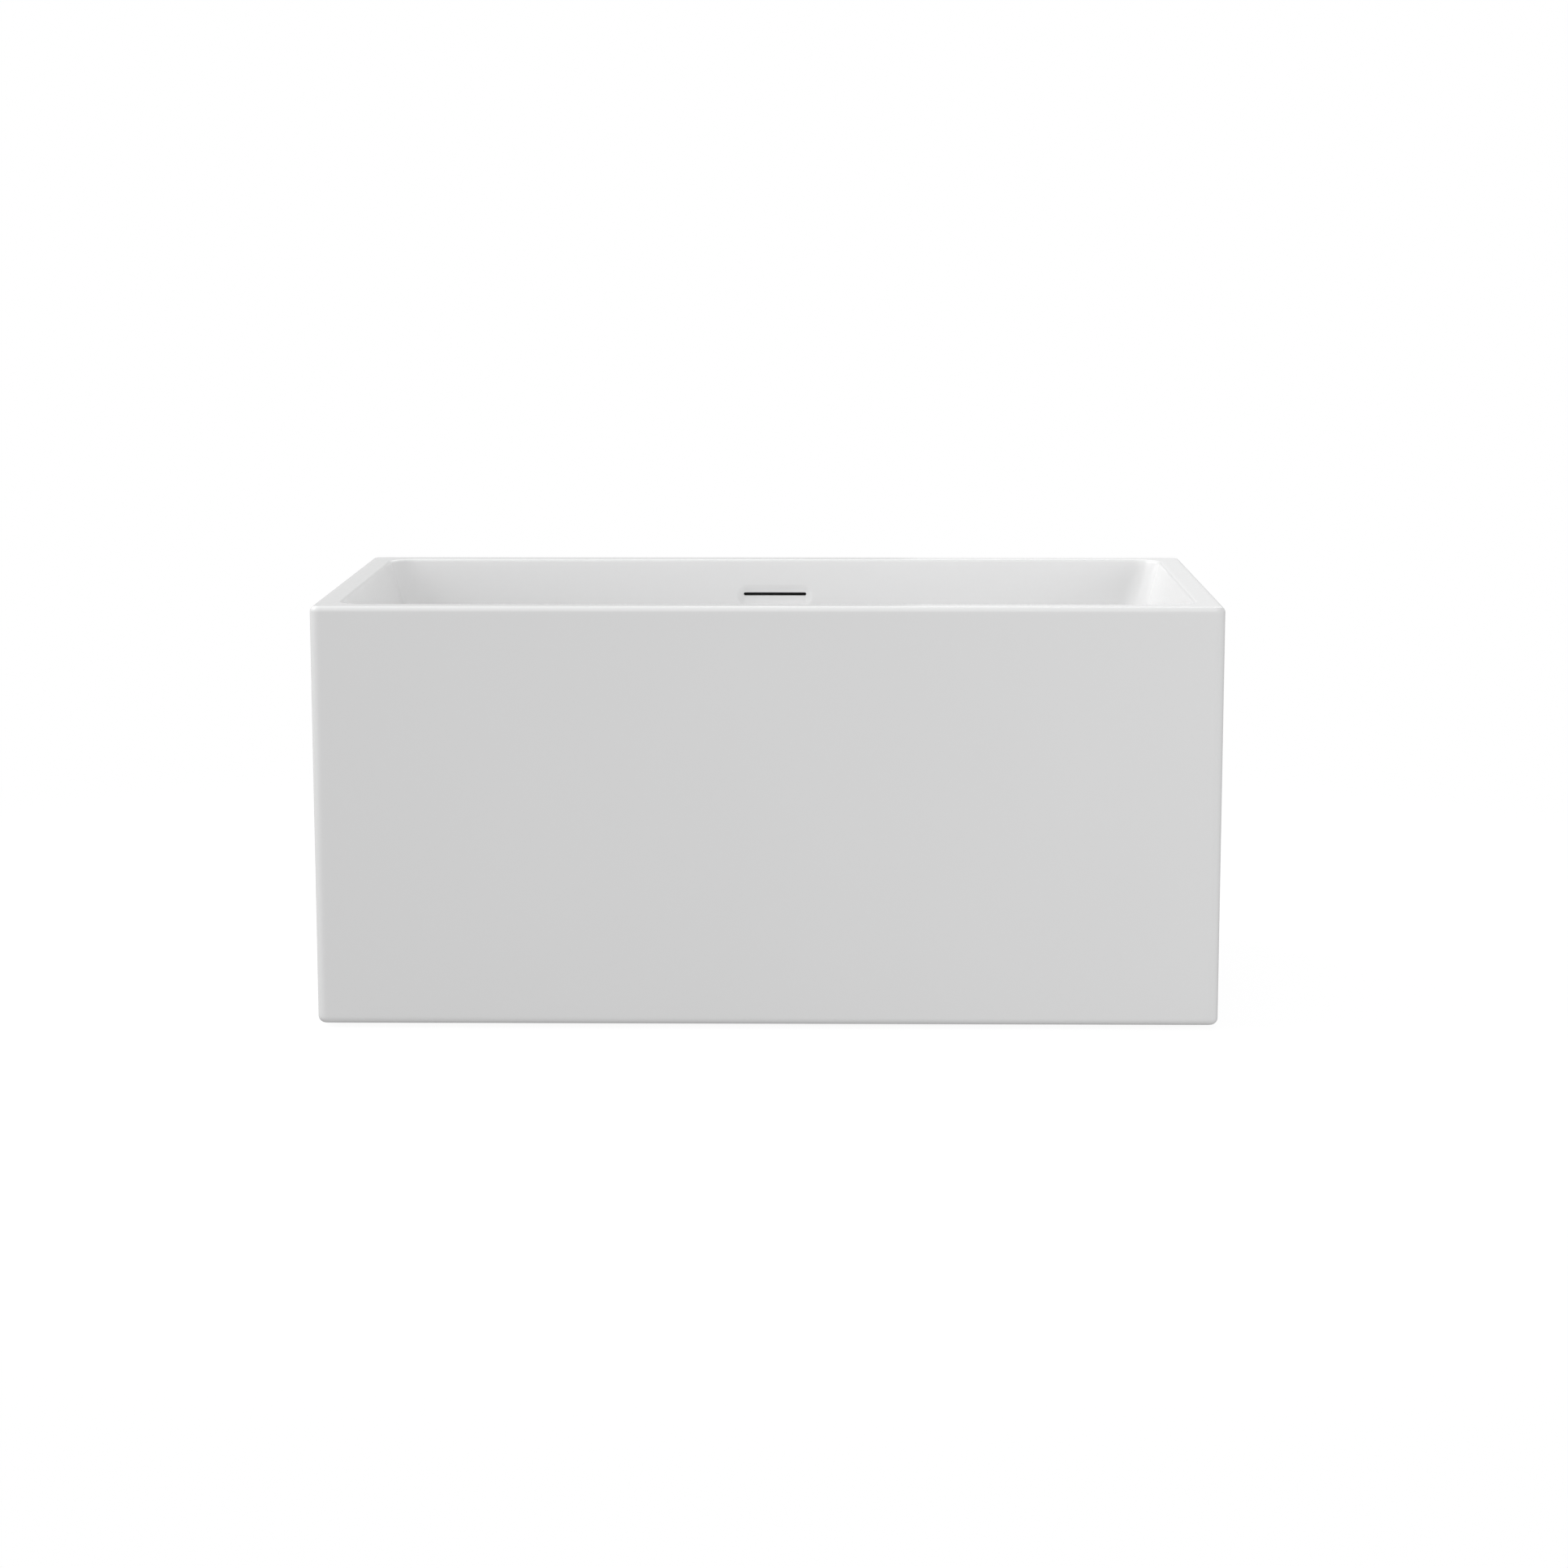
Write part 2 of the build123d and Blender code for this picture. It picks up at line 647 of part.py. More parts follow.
for name, (x, y) in feet.items():
    foot_axis = Axis((x, y, 0), (0, 0, 1))
    with BuildPart() as foot_pad:
        turned(
            [(0, sole_recess), (pad_radius, sole_recess), (pad_radius, pad_edge_height),
             (pad_radius - pad_edge_chamfer, pad_edge_height + pad_edge_chamfer),
             (button_radius + pad_collar_walls[0], pad_collar_from),
             (button_radius + pad_collar_walls[1], pad_height), (0, pad_height)],
            foot_axis,
        )
        with Locations((x, y, button_from - button_room)):
            Cylinder(
                button_radius + button_room, button_to - button_from + 2 * button_room,
                align=(Align.CENTER, Align.CENTER, Align.MIN), mode=Mode.SUBTRACT,
            )
            Cylinder(
                neck_radius + neck_room, pad_height,
                align=(Align.CENTER, Align.CENTER, Align.MIN), mode=Mode.SUBTRACT,
            )
        with Locations((x, y, sole_recess)):
            Cylinder(
                pad_radius - sole_inset, sole_thickness - sole_recess,
                align=(Align.CENTER, Align.CENTER, Align.MIN), mode=Mode.SUBTRACT,
            )
    write(foot_pad, f"foot_pad_{name}")

    with BuildPart() as foot_sole:
        with Locations((x, y, 0)):
            Cylinder(
                pad_radius - sole_inset, sole_thickness,
                align=(Align.CENTER, Align.CENTER, Align.MIN),
            )
        chamfer(foot_sole.faces().sort_by(Axis.Z)[0].edges(), sole_chamfer)
    write(foot_sole, f"foot_sole_{name}")

    with BuildPart() as foot_stud:
        turned(
            [(0, button_from), (button_radius, button_from), (button_radius, button_to),
             (neck_radius, button_to), (neck_radius, hex_from), (0, hex_from)],
            foot_axis,
        )
        with BuildSketch(Plane.XY.offset(hex_from)):
            with Locations((x, y)):
                RegularPolygon(hex_flats / 2, 6, major_radius=False)
        extrude(amount=hex_to - hex_from)
        with BuildSketch(Plane.XY.offset(hex_to)):
            with Locations((x, y)):
                Circle(stud_radius)
        extrude(amount=stud_top - hex_to)
        chamfer(foot_stud.faces().sort_by(Axis.Z)[-1].edges(), stud_chamfer)
    write(foot_stud, f"foot_stud_{name}")

# ---- drain: flange and barrel, seals, tee, tailpiece -------------------------------------------------
with BuildPart() as drain_flange:
    turned(
        [(barrel_bore, flange_z - barrel_length), (barrel_radius, flange_z - barrel_length),
         (barrel_radius, flange_z), (flange_radius, flange_z),
         (flange_radius, flange_z + flange_edge[1]), (flange_radius - flange_edge[0], flange_top),
         (barrel_radius + flange_mouth[0], flange_top), (barrel_bore, flange_top - flange_mouth[1])]
    )
    with BuildSketch(Plane.XY.offset(spider_bottom)):
        with Locations((0, drain_y)):
            Circle(boss_radius)
            Rectangle(barrel_bore + barrel_radius, spider_arm)
            Rectangle(spider_arm, barrel_bore + barrel_radius)
            Circle(cartridge_radius + thread_room, mode=Mode.SUBTRACT)
    extrude(amount=spider_thickness)
write(drain_flange, "drain_flange")

with BuildPart() as flange_gasket:
    with BuildSketch(Plane.XY.offset(flange_z - flange_gasket_thickness)):
        with Locations((0, drain_y)):
            Circle(flange_radius - flange_edge[1])
            Circle(drain_hole_radius, mode=Mode.SUBTRACT)
    extrude(amount=flange_gasket_thickness)
write(flange_gasket, "flange_gasket")

with BuildPart() as under_washer:
    with BuildSketch(Plane.XY.offset(tee_top)):
        with Locations((0, drain_y)):
            Circle(tee_flange_radius)
            Circle(barrel_radius + thread_room, mode=Mode.SUBTRACT)
    extrude(amount=washer_thickness)
write(under_washer, "under_washer")

with BuildPart() as waste_tee:
    turned(
        [(0, tee_bottom), (tee_radius, tee_bottom), (tee_radius, tee_top - tee_flange_thickness),
         (tee_flange_radius, tee_top - tee_flange_thickness), (tee_flange_radius, tee_top),
         (0, tee_top)]
    )
    with BuildSketch(facing_back(drain_y)):
        with Locations((0, inlet_z)):
            Circle(spigot_radius)
    extrude(amount=tee_radius + spigot_length)
    with Locations((0, drain_y, tee_bottom)):
        Cylinder(
            tail_neck_radius + thread_room, tail_socket_depth,
            align=(Align.CENTER, Align.CENTER, Align.MIN), mode=Mode.SUBTRACT,
        )
        Cylinder(
            tee_bore, tee_length, align=(Align.CENTER, Align.CENTER, Align.MIN),
            mode=Mode.SUBTRACT,
        )
    with Locations((0, drain_y, tee_top)):
        Cylinder(
            barrel_radius + thread_room, tee_socket_depth,
            align=(Align.CENTER, Align.CENTER, Align.MAX), mode=Mode.SUBTRACT,
        )
    with BuildSketch(facing_back(drain_y)):
        with Locations((0, inlet_z)):
            Circle(spigot_bore)
    extrude(amount=tee_radius + spigot_length, mode=Mode.SUBTRACT)
write(waste_tee, "waste_tee")

with BuildPart() as tailpiece:
    turned(
        [(tail_bore, tail_bottom), (tail_radius, tail_bottom), (tail_radius, tail_neck_low),
         (tail_neck_radius, tail_neck_low), (tail_neck_radius, tail_top), (tail_bore, tail_top)]
    )
write(tailpiece, "tailpiece")

with BuildPart() as slip_washer:
    with BuildSketch(Plane.XY.offset(tee_bottom - slip_washer_thickness)):
        with Locations((0, drain_y)):
            Circle(tee_radius)
            Circle(tail_neck_radius + thread_room, mode=Mode.SUBTRACT)
    extrude(amount=slip_washer_thickness)
write(slip_washer, "slip_washer")

with BuildPart() as slip_nut:
    with BuildSketch(Plane.XY.offset(slip_nut_low)):
        with Locations((0, drain_y)):
            Circle(tee_radius + slip_nut_wall)
            with PolarLocations(tee_radius + slip_nut_wall, slip_nut_ribs):
                Rectangle(slip_nut_rib, 2 * slip_nut_rib)
    extrude(amount=slip_nut_length)
    with Locations((0, drain_y, slip_nut_low)):
        Cylinder(tail_neck_radius + thread_room, 3 * slip_nut_wall, mode=Mode.SUBTRACT)
    with Locations((0, drain_y, slip_nut_low + slip_nut_wall)):
        Cylinder(
            tee_radius + thread_room, slip_nut_length,
            align=(Align.CENTER, Align.CENTER, Align.MIN), mode=Mode.SUBTRACT,
        )
write(slip_nut, "slip_nut")

# ---- pop-up plug: cap, seal and stem rise and fall together in a spring cartridge --------------------
with BuildPart() as plug_cap:
    turned(
        [(0, cap_bottom), (cap_radius - cap_edge, cap_bottom), (cap_radius, cap_bottom + cap_edge),
         (cap_radius, cap_bottom + cap_thickness - cap_rise - cap_edge),
         (cap_radius - cap_edge, cap_bottom + cap_thickness - cap_rise),
         (cap_radius / 2, cap_bottom + cap_thickness - cap_rise / 3),
         (0, cap_bottom + cap_thickness)]
    )
    with Locations((0, drain_y, cap_bottom)):
        Cylinder(
            stem_radius + thread_room, stem_seat + thread_room,
            align=(Align.CENTER, Align.CENTER, Align.MIN), mode=Mode.SUBTRACT,
        )
write(plug_cap, "plug_cap")

with BuildPart() as plug_seal:
    with BuildSketch(Plane.XY.offset(seal_bottom)):
        with Locations((0, drain_y)):
            Circle(seal_radius)
            Circle(seal_radius - seal_width, mode=Mode.SUBTRACT)
    extrude(amount=seal_thickness)
write(plug_seal, "plug_seal")

with BuildPart() as plug_stem:
    turned(
        [(0, piston_bottom), (piston_radius, piston_bottom), (piston_radius, piston_top),
         (stem_radius, piston_top), (stem_radius, cap_bottom + stem_seat),
         (0, cap_bottom + stem_seat)]
    )
write(plug_stem, "plug_stem")

with BuildPart() as cartridge:
    turned(
        [(0, cartridge_low), (cartridge_radius, cartridge_low), (cartridge_radius, spider_top),
         (collar_radius, spider_top), (collar_radius, spider_top + collar_thickness),
         (cartridge_radius, spider_top + collar_thickness), (cartridge_radius, cartridge_high),
         (stem_radius + guide_room, cartridge_high),
         (stem_radius + guide_room, cartridge_high - cartridge_wall),
         (cartridge_bore, cartridge_high - cartridge_wall), (cartridge_bore, spring_floor),
         (0, spring_floor)]
    )
write(cartridge, "cartridge")

spring_height = piston_bottom - spring_floor - 2 * spring_wire
with BuildPart() as plug_spring:
    with BuildLine():
        coil = Helix(
            spring_height / spring_turns, spring_height, spring_radius,
            center=(0, drain_y, spring_floor + spring_wire),
        )
    with BuildSketch(Plane(origin=coil @ 0, z_dir=coil % 0)):
        Circle(spring_wire)
    sweep(is_frenet=True)
write(plug_spring, "plug_spring")

# ---- overflow: a gasket and a flat box behind the slot, and a hose down to the tee -------------------
with BuildPart() as overflow_gasket:
    with BuildSketch(facing_back(pad_face_y)):
        with Locations((0, slot_z)):
            Rectangle(*box_flange)
            Rectangle(
                box_size[0] - 2 * box_wall, box_size[1] - 2 * box_wall, mode=Mode.SUBTRACT
            )
        with Locations(*overflow_screws):
            Circle(screw_radius + screw_room, mode=Mode.SUBTRACT)
    extrude(amount=gasket_thickness)
write(overflow_gasket, "overflow_gasket")

with BuildPart() as overflow_box:
    with BuildSketch(facing_back(box_front_y)):
        with Locations((0, slot_z)):
            Rectangle(*box_flange)
        with Locations(*overflow_screws):
            Circle(screw_radius + screw_room, mode=Mode.SUBTRACT)
    extrude(amount=box_flange_thickness)
    with BuildSketch(facing_back(box_front_y)):
        with Locations((0, slot_z)):
            Rectangle(*box_size)
        with Locations((0, (box_low + sump_low) / 2)):
            Rectangle(sump_length, box_low - sump_low)
    extrude(amount=box_depth)
    with BuildSketch(facing_back(sump_front_y)):
        with Locations((0, (sump_high + sump_low) / 2)):
            Rectangle(sump_length, sump_drop)
    extrude(amount=box_back_y - sump_front_y)
    with BuildSketch(Plane.XY.offset(sump_low)):
        with Locations((0, hose_y)):
            Circle(spigot_radius)
    extrude(amount=-spigot_length)

    # the hollow: the box, the way down into the sump, the sump, the bore of the spigot
    with BuildSketch(facing_back(box_front_y)):
        with Locations((0, slot_z)):
            Rectangle(box_size[0] - 2 * box_wall, box_size[1] - 2 * box_wall)
    extrude(amount=box_depth - box_wall, mode=Mode.SUBTRACT)
    with BuildSketch(facing_back(box_front_y + box_wall)):
        with Locations((0, (box_low + sump_low) / 2 + box_wall)):
            Rectangle(sump_length - 2 * box_wall, box_low - sump_low)
    extrude(amount=box_depth - 2 * box_wall, mode=Mode.SUBTRACT)
    with BuildSketch(facing_back(sump_front_y + box_wall)):
        with Locations((0, (sump_high + sump_low) / 2)):
            Rectangle(sump_length - 2 * box_wall, sump_drop - 2 * box_wall)
    extrude(amount=box_back_y - sump_front_y - 2 * box_wall, mode=Mode.SUBTRACT)
    with BuildSketch(Plane.XY.offset(sump_low + box_wall)):
        with Locations((0, hose_y)):
            Circle(spigot_bore)
    extrude(amount=-spigot_length - box_wall, mode=Mode.SUBTRACT)
write(overflow_box, "overflow_box")

with BuildPart() as overflow_box_screws:
    for x, z in overflow_screws:
        head = Plane((x, box_front_y + box_flange_thickness, z), z_dir=(0, 1, 0))
        with BuildSketch(head):
            Circle(screw_head[0])
        extrude(amount=screw_head[1])
        with BuildSketch(head):
            Circle(screw_radius)
        extrude(amount=-(box_flange_thickness + gasket_thickness + screw_depth))
write(overflow_box_screws, "overflow_box_screws")

hose_top = Vector(0, hose_y, sump_low - hose_end_gap)
hose_foot = Vector(0, drain_y + tee_radius + hose_end_gap, inlet_z)
with BuildPart() as overflow_hose:
    with BuildLine() as hose_route:
        FilletPolyline(hose_top, (0, hose_y, inlet_z), hose_foot, radius=hose_bend_radius)
    with BuildSketch(Plane(origin=hose_top, z_dir=(0, 0, -1))):
        Circle(hose_radius)
        Circle(spigot_radius + hose_fit, mode=Mode.SUBTRACT)
    sweep()
write(overflow_hose, "overflow_hose")

clip_planes = [
    Plane(origin=hose_top - (0, 0, clip_from_end), x_dir=(1, 0, 0), z_dir=(0, 0, -1)),
    Plane(origin=hose_foot + (0, clip_from_end, 0), x_dir=(1, 0, 0), z_dir=(0, 1, 0)),
]
with BuildPart() as hose_clips:
    for place in clip_planes:
        with BuildSketch(place):
            Circle(hose_radius + clip_thickness)
            with Locations((hose_radius + clip_ear[1] / 2, 0)):
                Rectangle(clip_ear[1], clip_ear[0])
                Rectangle(
                    2 * clip_ear[1], clip_ear[0] - 2 * clip_thickness, mode=Mode.SUBTRACT
                )
            Circle(hose_radius, mode=Mode.SUBTRACT)
        extrude(amount=clip_width)
write(hose_clips, "hose_clips")

# ---- spacers: blocks that keep the well and the skirt apart ------------------------------------------
for side_name, side in (("front", -1), ("back", 1)):
    for end_name, end in (("left", -1), ("right", 1)):
        with BuildPart() as spacer:
            with Locations((end * spacer_offset, side * skirt_inside_y, spacer_height)):
                reach = skirt_inside_y - floor_half_width
                Box(spacer_size[0], 2 * reach, spacer_size[1])
            split(bisect_by=Plane((0, side * skirt_inside_y, 0), z_dir=(0, -side, 0)))
            add(basin_shape, mode=Mode.SUBTRACT)
        write(spacer, f"spacer_{side_name}_{end_name}")
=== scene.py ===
"""A white rectangular freestanding bathtub.

Acrylic well and skirt, slot overflow, pop-up drain, levelling feet on a steel frame.
Metres, +X along the tub, +Y towards the long wall with the overflow slot, +Z up, the floor at z = 0.
"""

from math import atan2, cos, pi, radians, sin, sqrt, tan

import bmesh
import bpy
from mathutils import Matrix, Vector


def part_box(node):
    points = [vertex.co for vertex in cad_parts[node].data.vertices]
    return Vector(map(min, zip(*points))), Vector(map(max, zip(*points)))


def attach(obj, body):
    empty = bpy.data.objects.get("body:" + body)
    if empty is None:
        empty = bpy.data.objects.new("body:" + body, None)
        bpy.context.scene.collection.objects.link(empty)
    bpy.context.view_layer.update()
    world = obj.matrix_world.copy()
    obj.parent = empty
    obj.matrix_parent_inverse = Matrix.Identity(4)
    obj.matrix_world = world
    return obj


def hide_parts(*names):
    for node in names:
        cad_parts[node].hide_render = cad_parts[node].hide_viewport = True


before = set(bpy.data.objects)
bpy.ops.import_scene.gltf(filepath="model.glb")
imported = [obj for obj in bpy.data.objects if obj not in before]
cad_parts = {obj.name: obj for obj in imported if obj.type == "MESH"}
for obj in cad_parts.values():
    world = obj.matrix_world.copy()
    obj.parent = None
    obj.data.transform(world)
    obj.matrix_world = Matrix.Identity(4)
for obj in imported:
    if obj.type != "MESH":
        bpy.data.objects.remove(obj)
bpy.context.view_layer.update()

scene = bpy.context.scene


# ---- Camera, floor and light ---------------------------------------------------------------------
# A long lens looks a little down on the front of the tub. The tub stands on a plain white studio
# floor in a white room. Soft panels light it from the left and the back, with weak fills in front.
camera_data = bpy.data.cameras.new("camera")
camera_data.sensor_width = 36.0
camera_data.lens = 82.69
camera_data.clip_end = 200.0
camera = bpy.data.objects.new("camera", camera_data)
scene.collection.objects.link(camera)
scene.camera = camera
camera_pitch, camera_yaw, camera_roll = radians(9.2213), radians(0.8729), radians(-0.0386)
camera.matrix_world = (
    Matrix.Translation((0.10154, -5.4116, 1.17747))
    @ Matrix.Rotation(camera_yaw, 4, "Z")
    @ Matrix.Rotation(pi / 2 - camera_pitch, 4, "X")
    @ Matrix.Rotation(camera_roll, 4, "Z")
)


def nodes_of(owner):
    """Empties a material's or the world's node tree and returns its nodes and links."""
    owner.use_nodes = True
    owner.node_tree.nodes.clear()
    return owner.node_tree.nodes, owner.node_tree.links


def soft_light(name, place, aim, width, height, watts, mirrored=True):
    """A soft rectangular studio light at place that shines at aim, seen in gloss only if mirrored."""
    data = bpy.data.lights.new(name, "AREA")
    data.shape = "RECTANGLE"
    data.size, data.size_y = width, height
    data.energy = watts
    light = bpy.data.objects.new(name, data)
    light.visible_camera = False
    light.visible_glossy = mirrored
    scene.collection.objects.link(light)
    toward = Vector(aim) - Vector(place)
    turn = toward.to_track_quat("-Z", "Y").to_matrix().to_4x4()
    light.matrix_world = Matrix.Translation(place) @ turn


world = bpy.data.worlds.new("studio")
scene.world = world
nodes, links = nodes_of(world)
seen = nodes.new("ShaderNodeBackground")
seen.inputs["Color"].default_value = (1.0, 1.0, 1.0, 1.0)
lit = nodes.new("ShaderNodeBackground")
lit.inputs["Color"].default_value = (0.995, 0.998, 1.0, 1.0)
lit.inputs["Strength"].default_value = 0.5
ray = nodes.new("ShaderNodeLightPath")
mix = nodes.new("ShaderNodeMixShader")
out = nodes.new("ShaderNodeOutputWorld")
links.new(ray.outputs["Is Camera Ray"], mix.inputs[0])
links.new(lit.outputs[0], mix.inputs[1])
links.new(seen.outputs[0], mix.inputs[2])
links.new(mix.outputs[0], out.inputs[0])
scene.view_settings.view_transform = "Standard"

soft_light("key_light", (-5.0, -0.4, 4.8), (0.2, 0.0, 0.5), 3.0, 3.0, 147.0)
soft_light("low_key_light", (-6.0, -0.8, 2.2), (0.2, 0.0, 0.5), 3.0, 3.0, 69.0, False)
soft_light("ceiling_light", (-0.5, 0.2, 4.0), (0.0, 0.0, 0.5), 4.0, 3.0, 10.0)
soft_light("front_fill_light", (0.0, -4.5, 4.2), (0.0, 0.0, 0.4), 4.0, 2.5, 16.0)
soft_light("back_light", (1.4, 4.5, 4.2), (0.2, 0.0, 0.5), 4.0, 3.0, 50.0)
soft_light("back_left_light", (-4.0, 3.0, 4.2), (0.2, 0.0, 0.5), 3.0, 3.0, 74.0)
soft_light("right_fill_light", (2.4, -4.2, 0.9), (0.3, 0.0, 0.35), 2.0, 1.4, 54.0, False)
soft_light("rim_light", (1.9, 5.0, 1.7), (0.3, 0.0, 0.6), 3.4, 2.4, 8.0)

floor_bm = bmesh.new()
bmesh.ops.create_circle(floor_bm, cap_ends=True, radius=60.0, segments=96)
floor_mesh = bpy.data.meshes.new("studio_floor")
floor_bm.to_mesh(floor_mesh)
floor_bm.free()
studio_floor = bpy.data.objects.new("studio_floor", floor_mesh)
scene.collection.objects.link(studio_floor)
floor_white = bpy.data.materials.new("studio_white")
nodes, links = nodes_of(floor_white)
place = nodes.new("ShaderNodeTexCoord")
distance = nodes.new("ShaderNodeVectorMath")
distance.operation = "LENGTH"
fade = nodes.new("ShaderNodeMapRange")
fade.interpolation_type = "SMOOTHERSTEP"
fade.inputs["From Min"].default_value = 0.7
fade.inputs["From Max"].default_value = 2.4
matt = nodes.new("ShaderNodeBsdfDiffuse")
matt.inputs["Color"].default_value = (0.12, 0.12, 0.12, 1.0)
glow = nodes.new("ShaderNodeEmission")
glow.inputs["Strength"].default_value = 0.92
near = nodes.new("ShaderNodeAddShader")
bounce = nodes.new("ShaderNodeEmission")
bounce.inputs["Strength"].default_value = 0.29
thrown = nodes.new("ShaderNodeAddShader")
far = nodes.new("ShaderNodeEmission")
far.inputs["Strength"].default_value = 1.0
spread = nodes.new("ShaderNodeMixShader")
ray = nodes.new("ShaderNodeLightPath")
mix = nodes.new("ShaderNodeMixShader")
out = nodes.new("ShaderNodeOutputMaterial")
links.new(place.outputs["Object"], distance.inputs[0])
links.new(distance.outputs["Value"], fade.inputs["Value"])
links.new(fade.outputs[0], spread.inputs[0])
links.new(matt.outputs[0], near.inputs[0])
links.new(glow.outputs[0], near.inputs[1])
links.new(near.outputs[0], spread.inputs[1])
links.new(far.outputs[0], spread.inputs[2])
links.new(ray.outputs["Is Camera Ray"], mix.inputs[0])
links.new(matt.outputs[0], thrown.inputs[0])
links.new(bounce.outputs[0], thrown.inputs[1])
links.new(thrown.outputs[0], mix.inputs[1])
links.new(spread.outputs[0], mix.inputs[2])
links.new(mix.outputs[0], out.inputs["Surface"])
floor_mesh.materials.append(floor_white)


# ---- Well shell ----------------------------------------------------------------------------------
# One sheet of white sanitary acrylic, vacuum formed into the well with its coves, the flat rim and
# the lip that turns down outside, then backed underneath with sprayed glass fibre and resin.
corner_steps = 10  # facets round each upright corner
side_cuts = 15  # points along each straight side
patch_half = 0.078  # half the width of the wall panel that holds the overflow
support = 0.004  # narrow strip beside each curve, which keeps the shading of the flats flat

basin_low, basin_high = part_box("basin")
half_length, half_width, top = basin_high
outer_corner = 0.014
rim_outer_round, rim_inner_round = 0.008, 0.005
rim_thickness, lip_wall, shell = 0.006, 0.005, 0.006
seam = top - 0.020
rim_width = 0.037
mouth_x, mouth_y = half_length - rim_width, half_width - rim_width
end_slope, side_slope = radians(16.0), radians(6.0)
well_floor = basin_low.z + shell
rim_corner, floor_corner, cove = 0.038, 0.060, 0.055


def gloss_acrylic(name):
    """Polished white acrylic: dense and bright, with the faint waviness of a formed sheet."""
    material = bpy.data.materials.new(name)
    nodes, links = nodes_of(material)
    place = nodes.new("ShaderNodeTexCoord")
    waves = nodes.new("ShaderNodeTexNoise")
    waves.inputs["Scale"].default_value = 4.0
    waves.inputs["Detail"].default_value = 1.0
    skin = nodes.new("ShaderNodeTexNoise")
    skin.inputs["Scale"].default_value = 240.0
    skin.inputs["Detail"].default_value = 2.0
    wavy = nodes.new("ShaderNodeBump")
    wavy.inputs["Strength"].default_value = 0.05
    wavy.inputs["Distance"].default_value = 0.001
    fine = nodes.new("ShaderNodeBump")
    fine.inputs["Strength"].default_value = 0.03
    fine.inputs["Distance"].default_value = 0.0002
    polish = nodes.new("ShaderNodeMapRange")
    polish.inputs["To Min"].default_value = 0.20
    polish.inputs["To Max"].default_value = 0.26
    tint = nodes.new("ShaderNodeMix")
    tint.data_type = "RGBA"
    tint.inputs["A"].default_value = (0.868, 0.868, 0.868, 1.0)
    tint.inputs["B"].default_value = (0.882, 0.882, 0.882, 1.0)
    gloss = nodes.new("ShaderNodeBsdfPrincipled")
    gloss.inputs["IOR"].default_value = 1.49
    gloss.inputs["Coat Weight"].default_value = 0.2
    gloss.inputs["Coat Roughness"].default_value = 0.12
    out = nodes.new("ShaderNodeOutputMaterial")
    links.new(place.outputs["Object"], waves.inputs["Vector"])
    links.new(place.outputs["Object"], skin.inputs["Vector"])
    links.new(waves.outputs[0], wavy.inputs["Height"])
    links.new(skin.outputs[0], fine.inputs["Height"])
    links.new(wavy.outputs[0], fine.inputs["Normal"])
    links.new(skin.outputs[0], polish.inputs["Value"])
    links.new(waves.outputs[0], tint.inputs["Factor"])
    links.new(tint.outputs["Result"], gloss.inputs["Base Color"])
    links.new(polish.outputs[0], gloss.inputs["Roughness"])
    links.new(fine.outputs[0], gloss.inputs["Normal"])
    links.new(gloss.outputs[0], out.inputs["Surface"])
    return material


def glass_fibre(name):
    """Sprayed glass fibre in resin: dull cream and lumpy, with chopped strands every way."""
    material = bpy.data.materials.new(name)
    nodes, links = nodes_of(material)
    place = nodes.new("ShaderNodeTexCoord")
    lumps = nodes.new("ShaderNodeTexNoise")
    lumps.inputs["Scale"].default_value = 38.0
    lumps.inputs["Detail"].default_value = 5.0
    warp = nodes.new("ShaderNodeMix")
    warp.data_type = "VECTOR"
    warp.inputs["Factor"].default_value = 0.25
    strands = nodes.new("ShaderNodeTexVoronoi")
    strands.feature = "DISTANCE_TO_EDGE"
    strands.inputs["Scale"].default_value = 90.0
    colour = nodes.new("ShaderNodeValToRGB")
    colour.color_ramp.elements[0].position = 0.3
    colour.color_ramp.elements[0].color = (0.66, 0.62, 0.52, 1.0)
    colour.color_ramp.elements[1].position = 0.7
    colour.color_ramp.elements[1].color = (0.78, 0.76, 0.68, 1.0)
    relief = nodes.new("ShaderNodeBump")
    relief.inputs["Strength"].default_value = 0.8
    relief.inputs["Distance"].default_value = 0.0015
    fibres = nodes.new("ShaderNodeBump")
    fibres.inputs["Strength"].default_value = 0.5
    fibres.inputs["Distance"].default_value = 0.0006
    resin = nodes.new("ShaderNodeBsdfPrincipled")
    resin.inputs["Roughness"].default_value = 0.42
    out = nodes.new("ShaderNodeOutputMaterial")
    links.new(place.outputs["Object"], lumps.inputs["Vector"])
    links.new(place.outputs["Object"], warp.inputs["A"])
    links.new(lumps.outputs["Color"], warp.inputs["B"])
    links.new(warp.outputs["Result"], strands.inputs["Vector"])
    links.new(lumps.outputs[0], colour.inputs[0])
    links.new(lumps.outputs[0], relief.inputs["Height"])
    links.new(strands.outputs[0], fibres.inputs["Height"])
    links.new(relief.outputs[0], fibres.inputs["Normal"])
    links.new(colour.outputs[0], resin.inputs["Base Color"])
    links.new(fibres.outputs[0], resin.inputs["Normal"])
    links.new(resin.outputs[0], out.inputs["Surface"])
    return material


def piece_from(bm, name, body, slot, replaced, *materials):
    """Closes off a bmesh as a piece that rides on a body and stands for CAD nodes."""
    bmesh.ops.recalc_face_normals(bm, faces=bm.faces)
    if bm.calc_volume(signed=True) < 0:
        bmesh.ops.reverse_faces(bm, faces=bm.faces)
    mesh = bpy.data.meshes.new(name)
    bm.to_mesh(mesh)
    bm.free()
    for material in materials:
        mesh.materials.append(material)
    mesh.shade_smooth()
    mesh.set_sharp_from_angle(angle=radians(34))
    piece = bpy.data.objects.new(name, mesh)
    scene.collection.objects.link(piece)
    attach(piece, body)
    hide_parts(*replaced)
    return piece


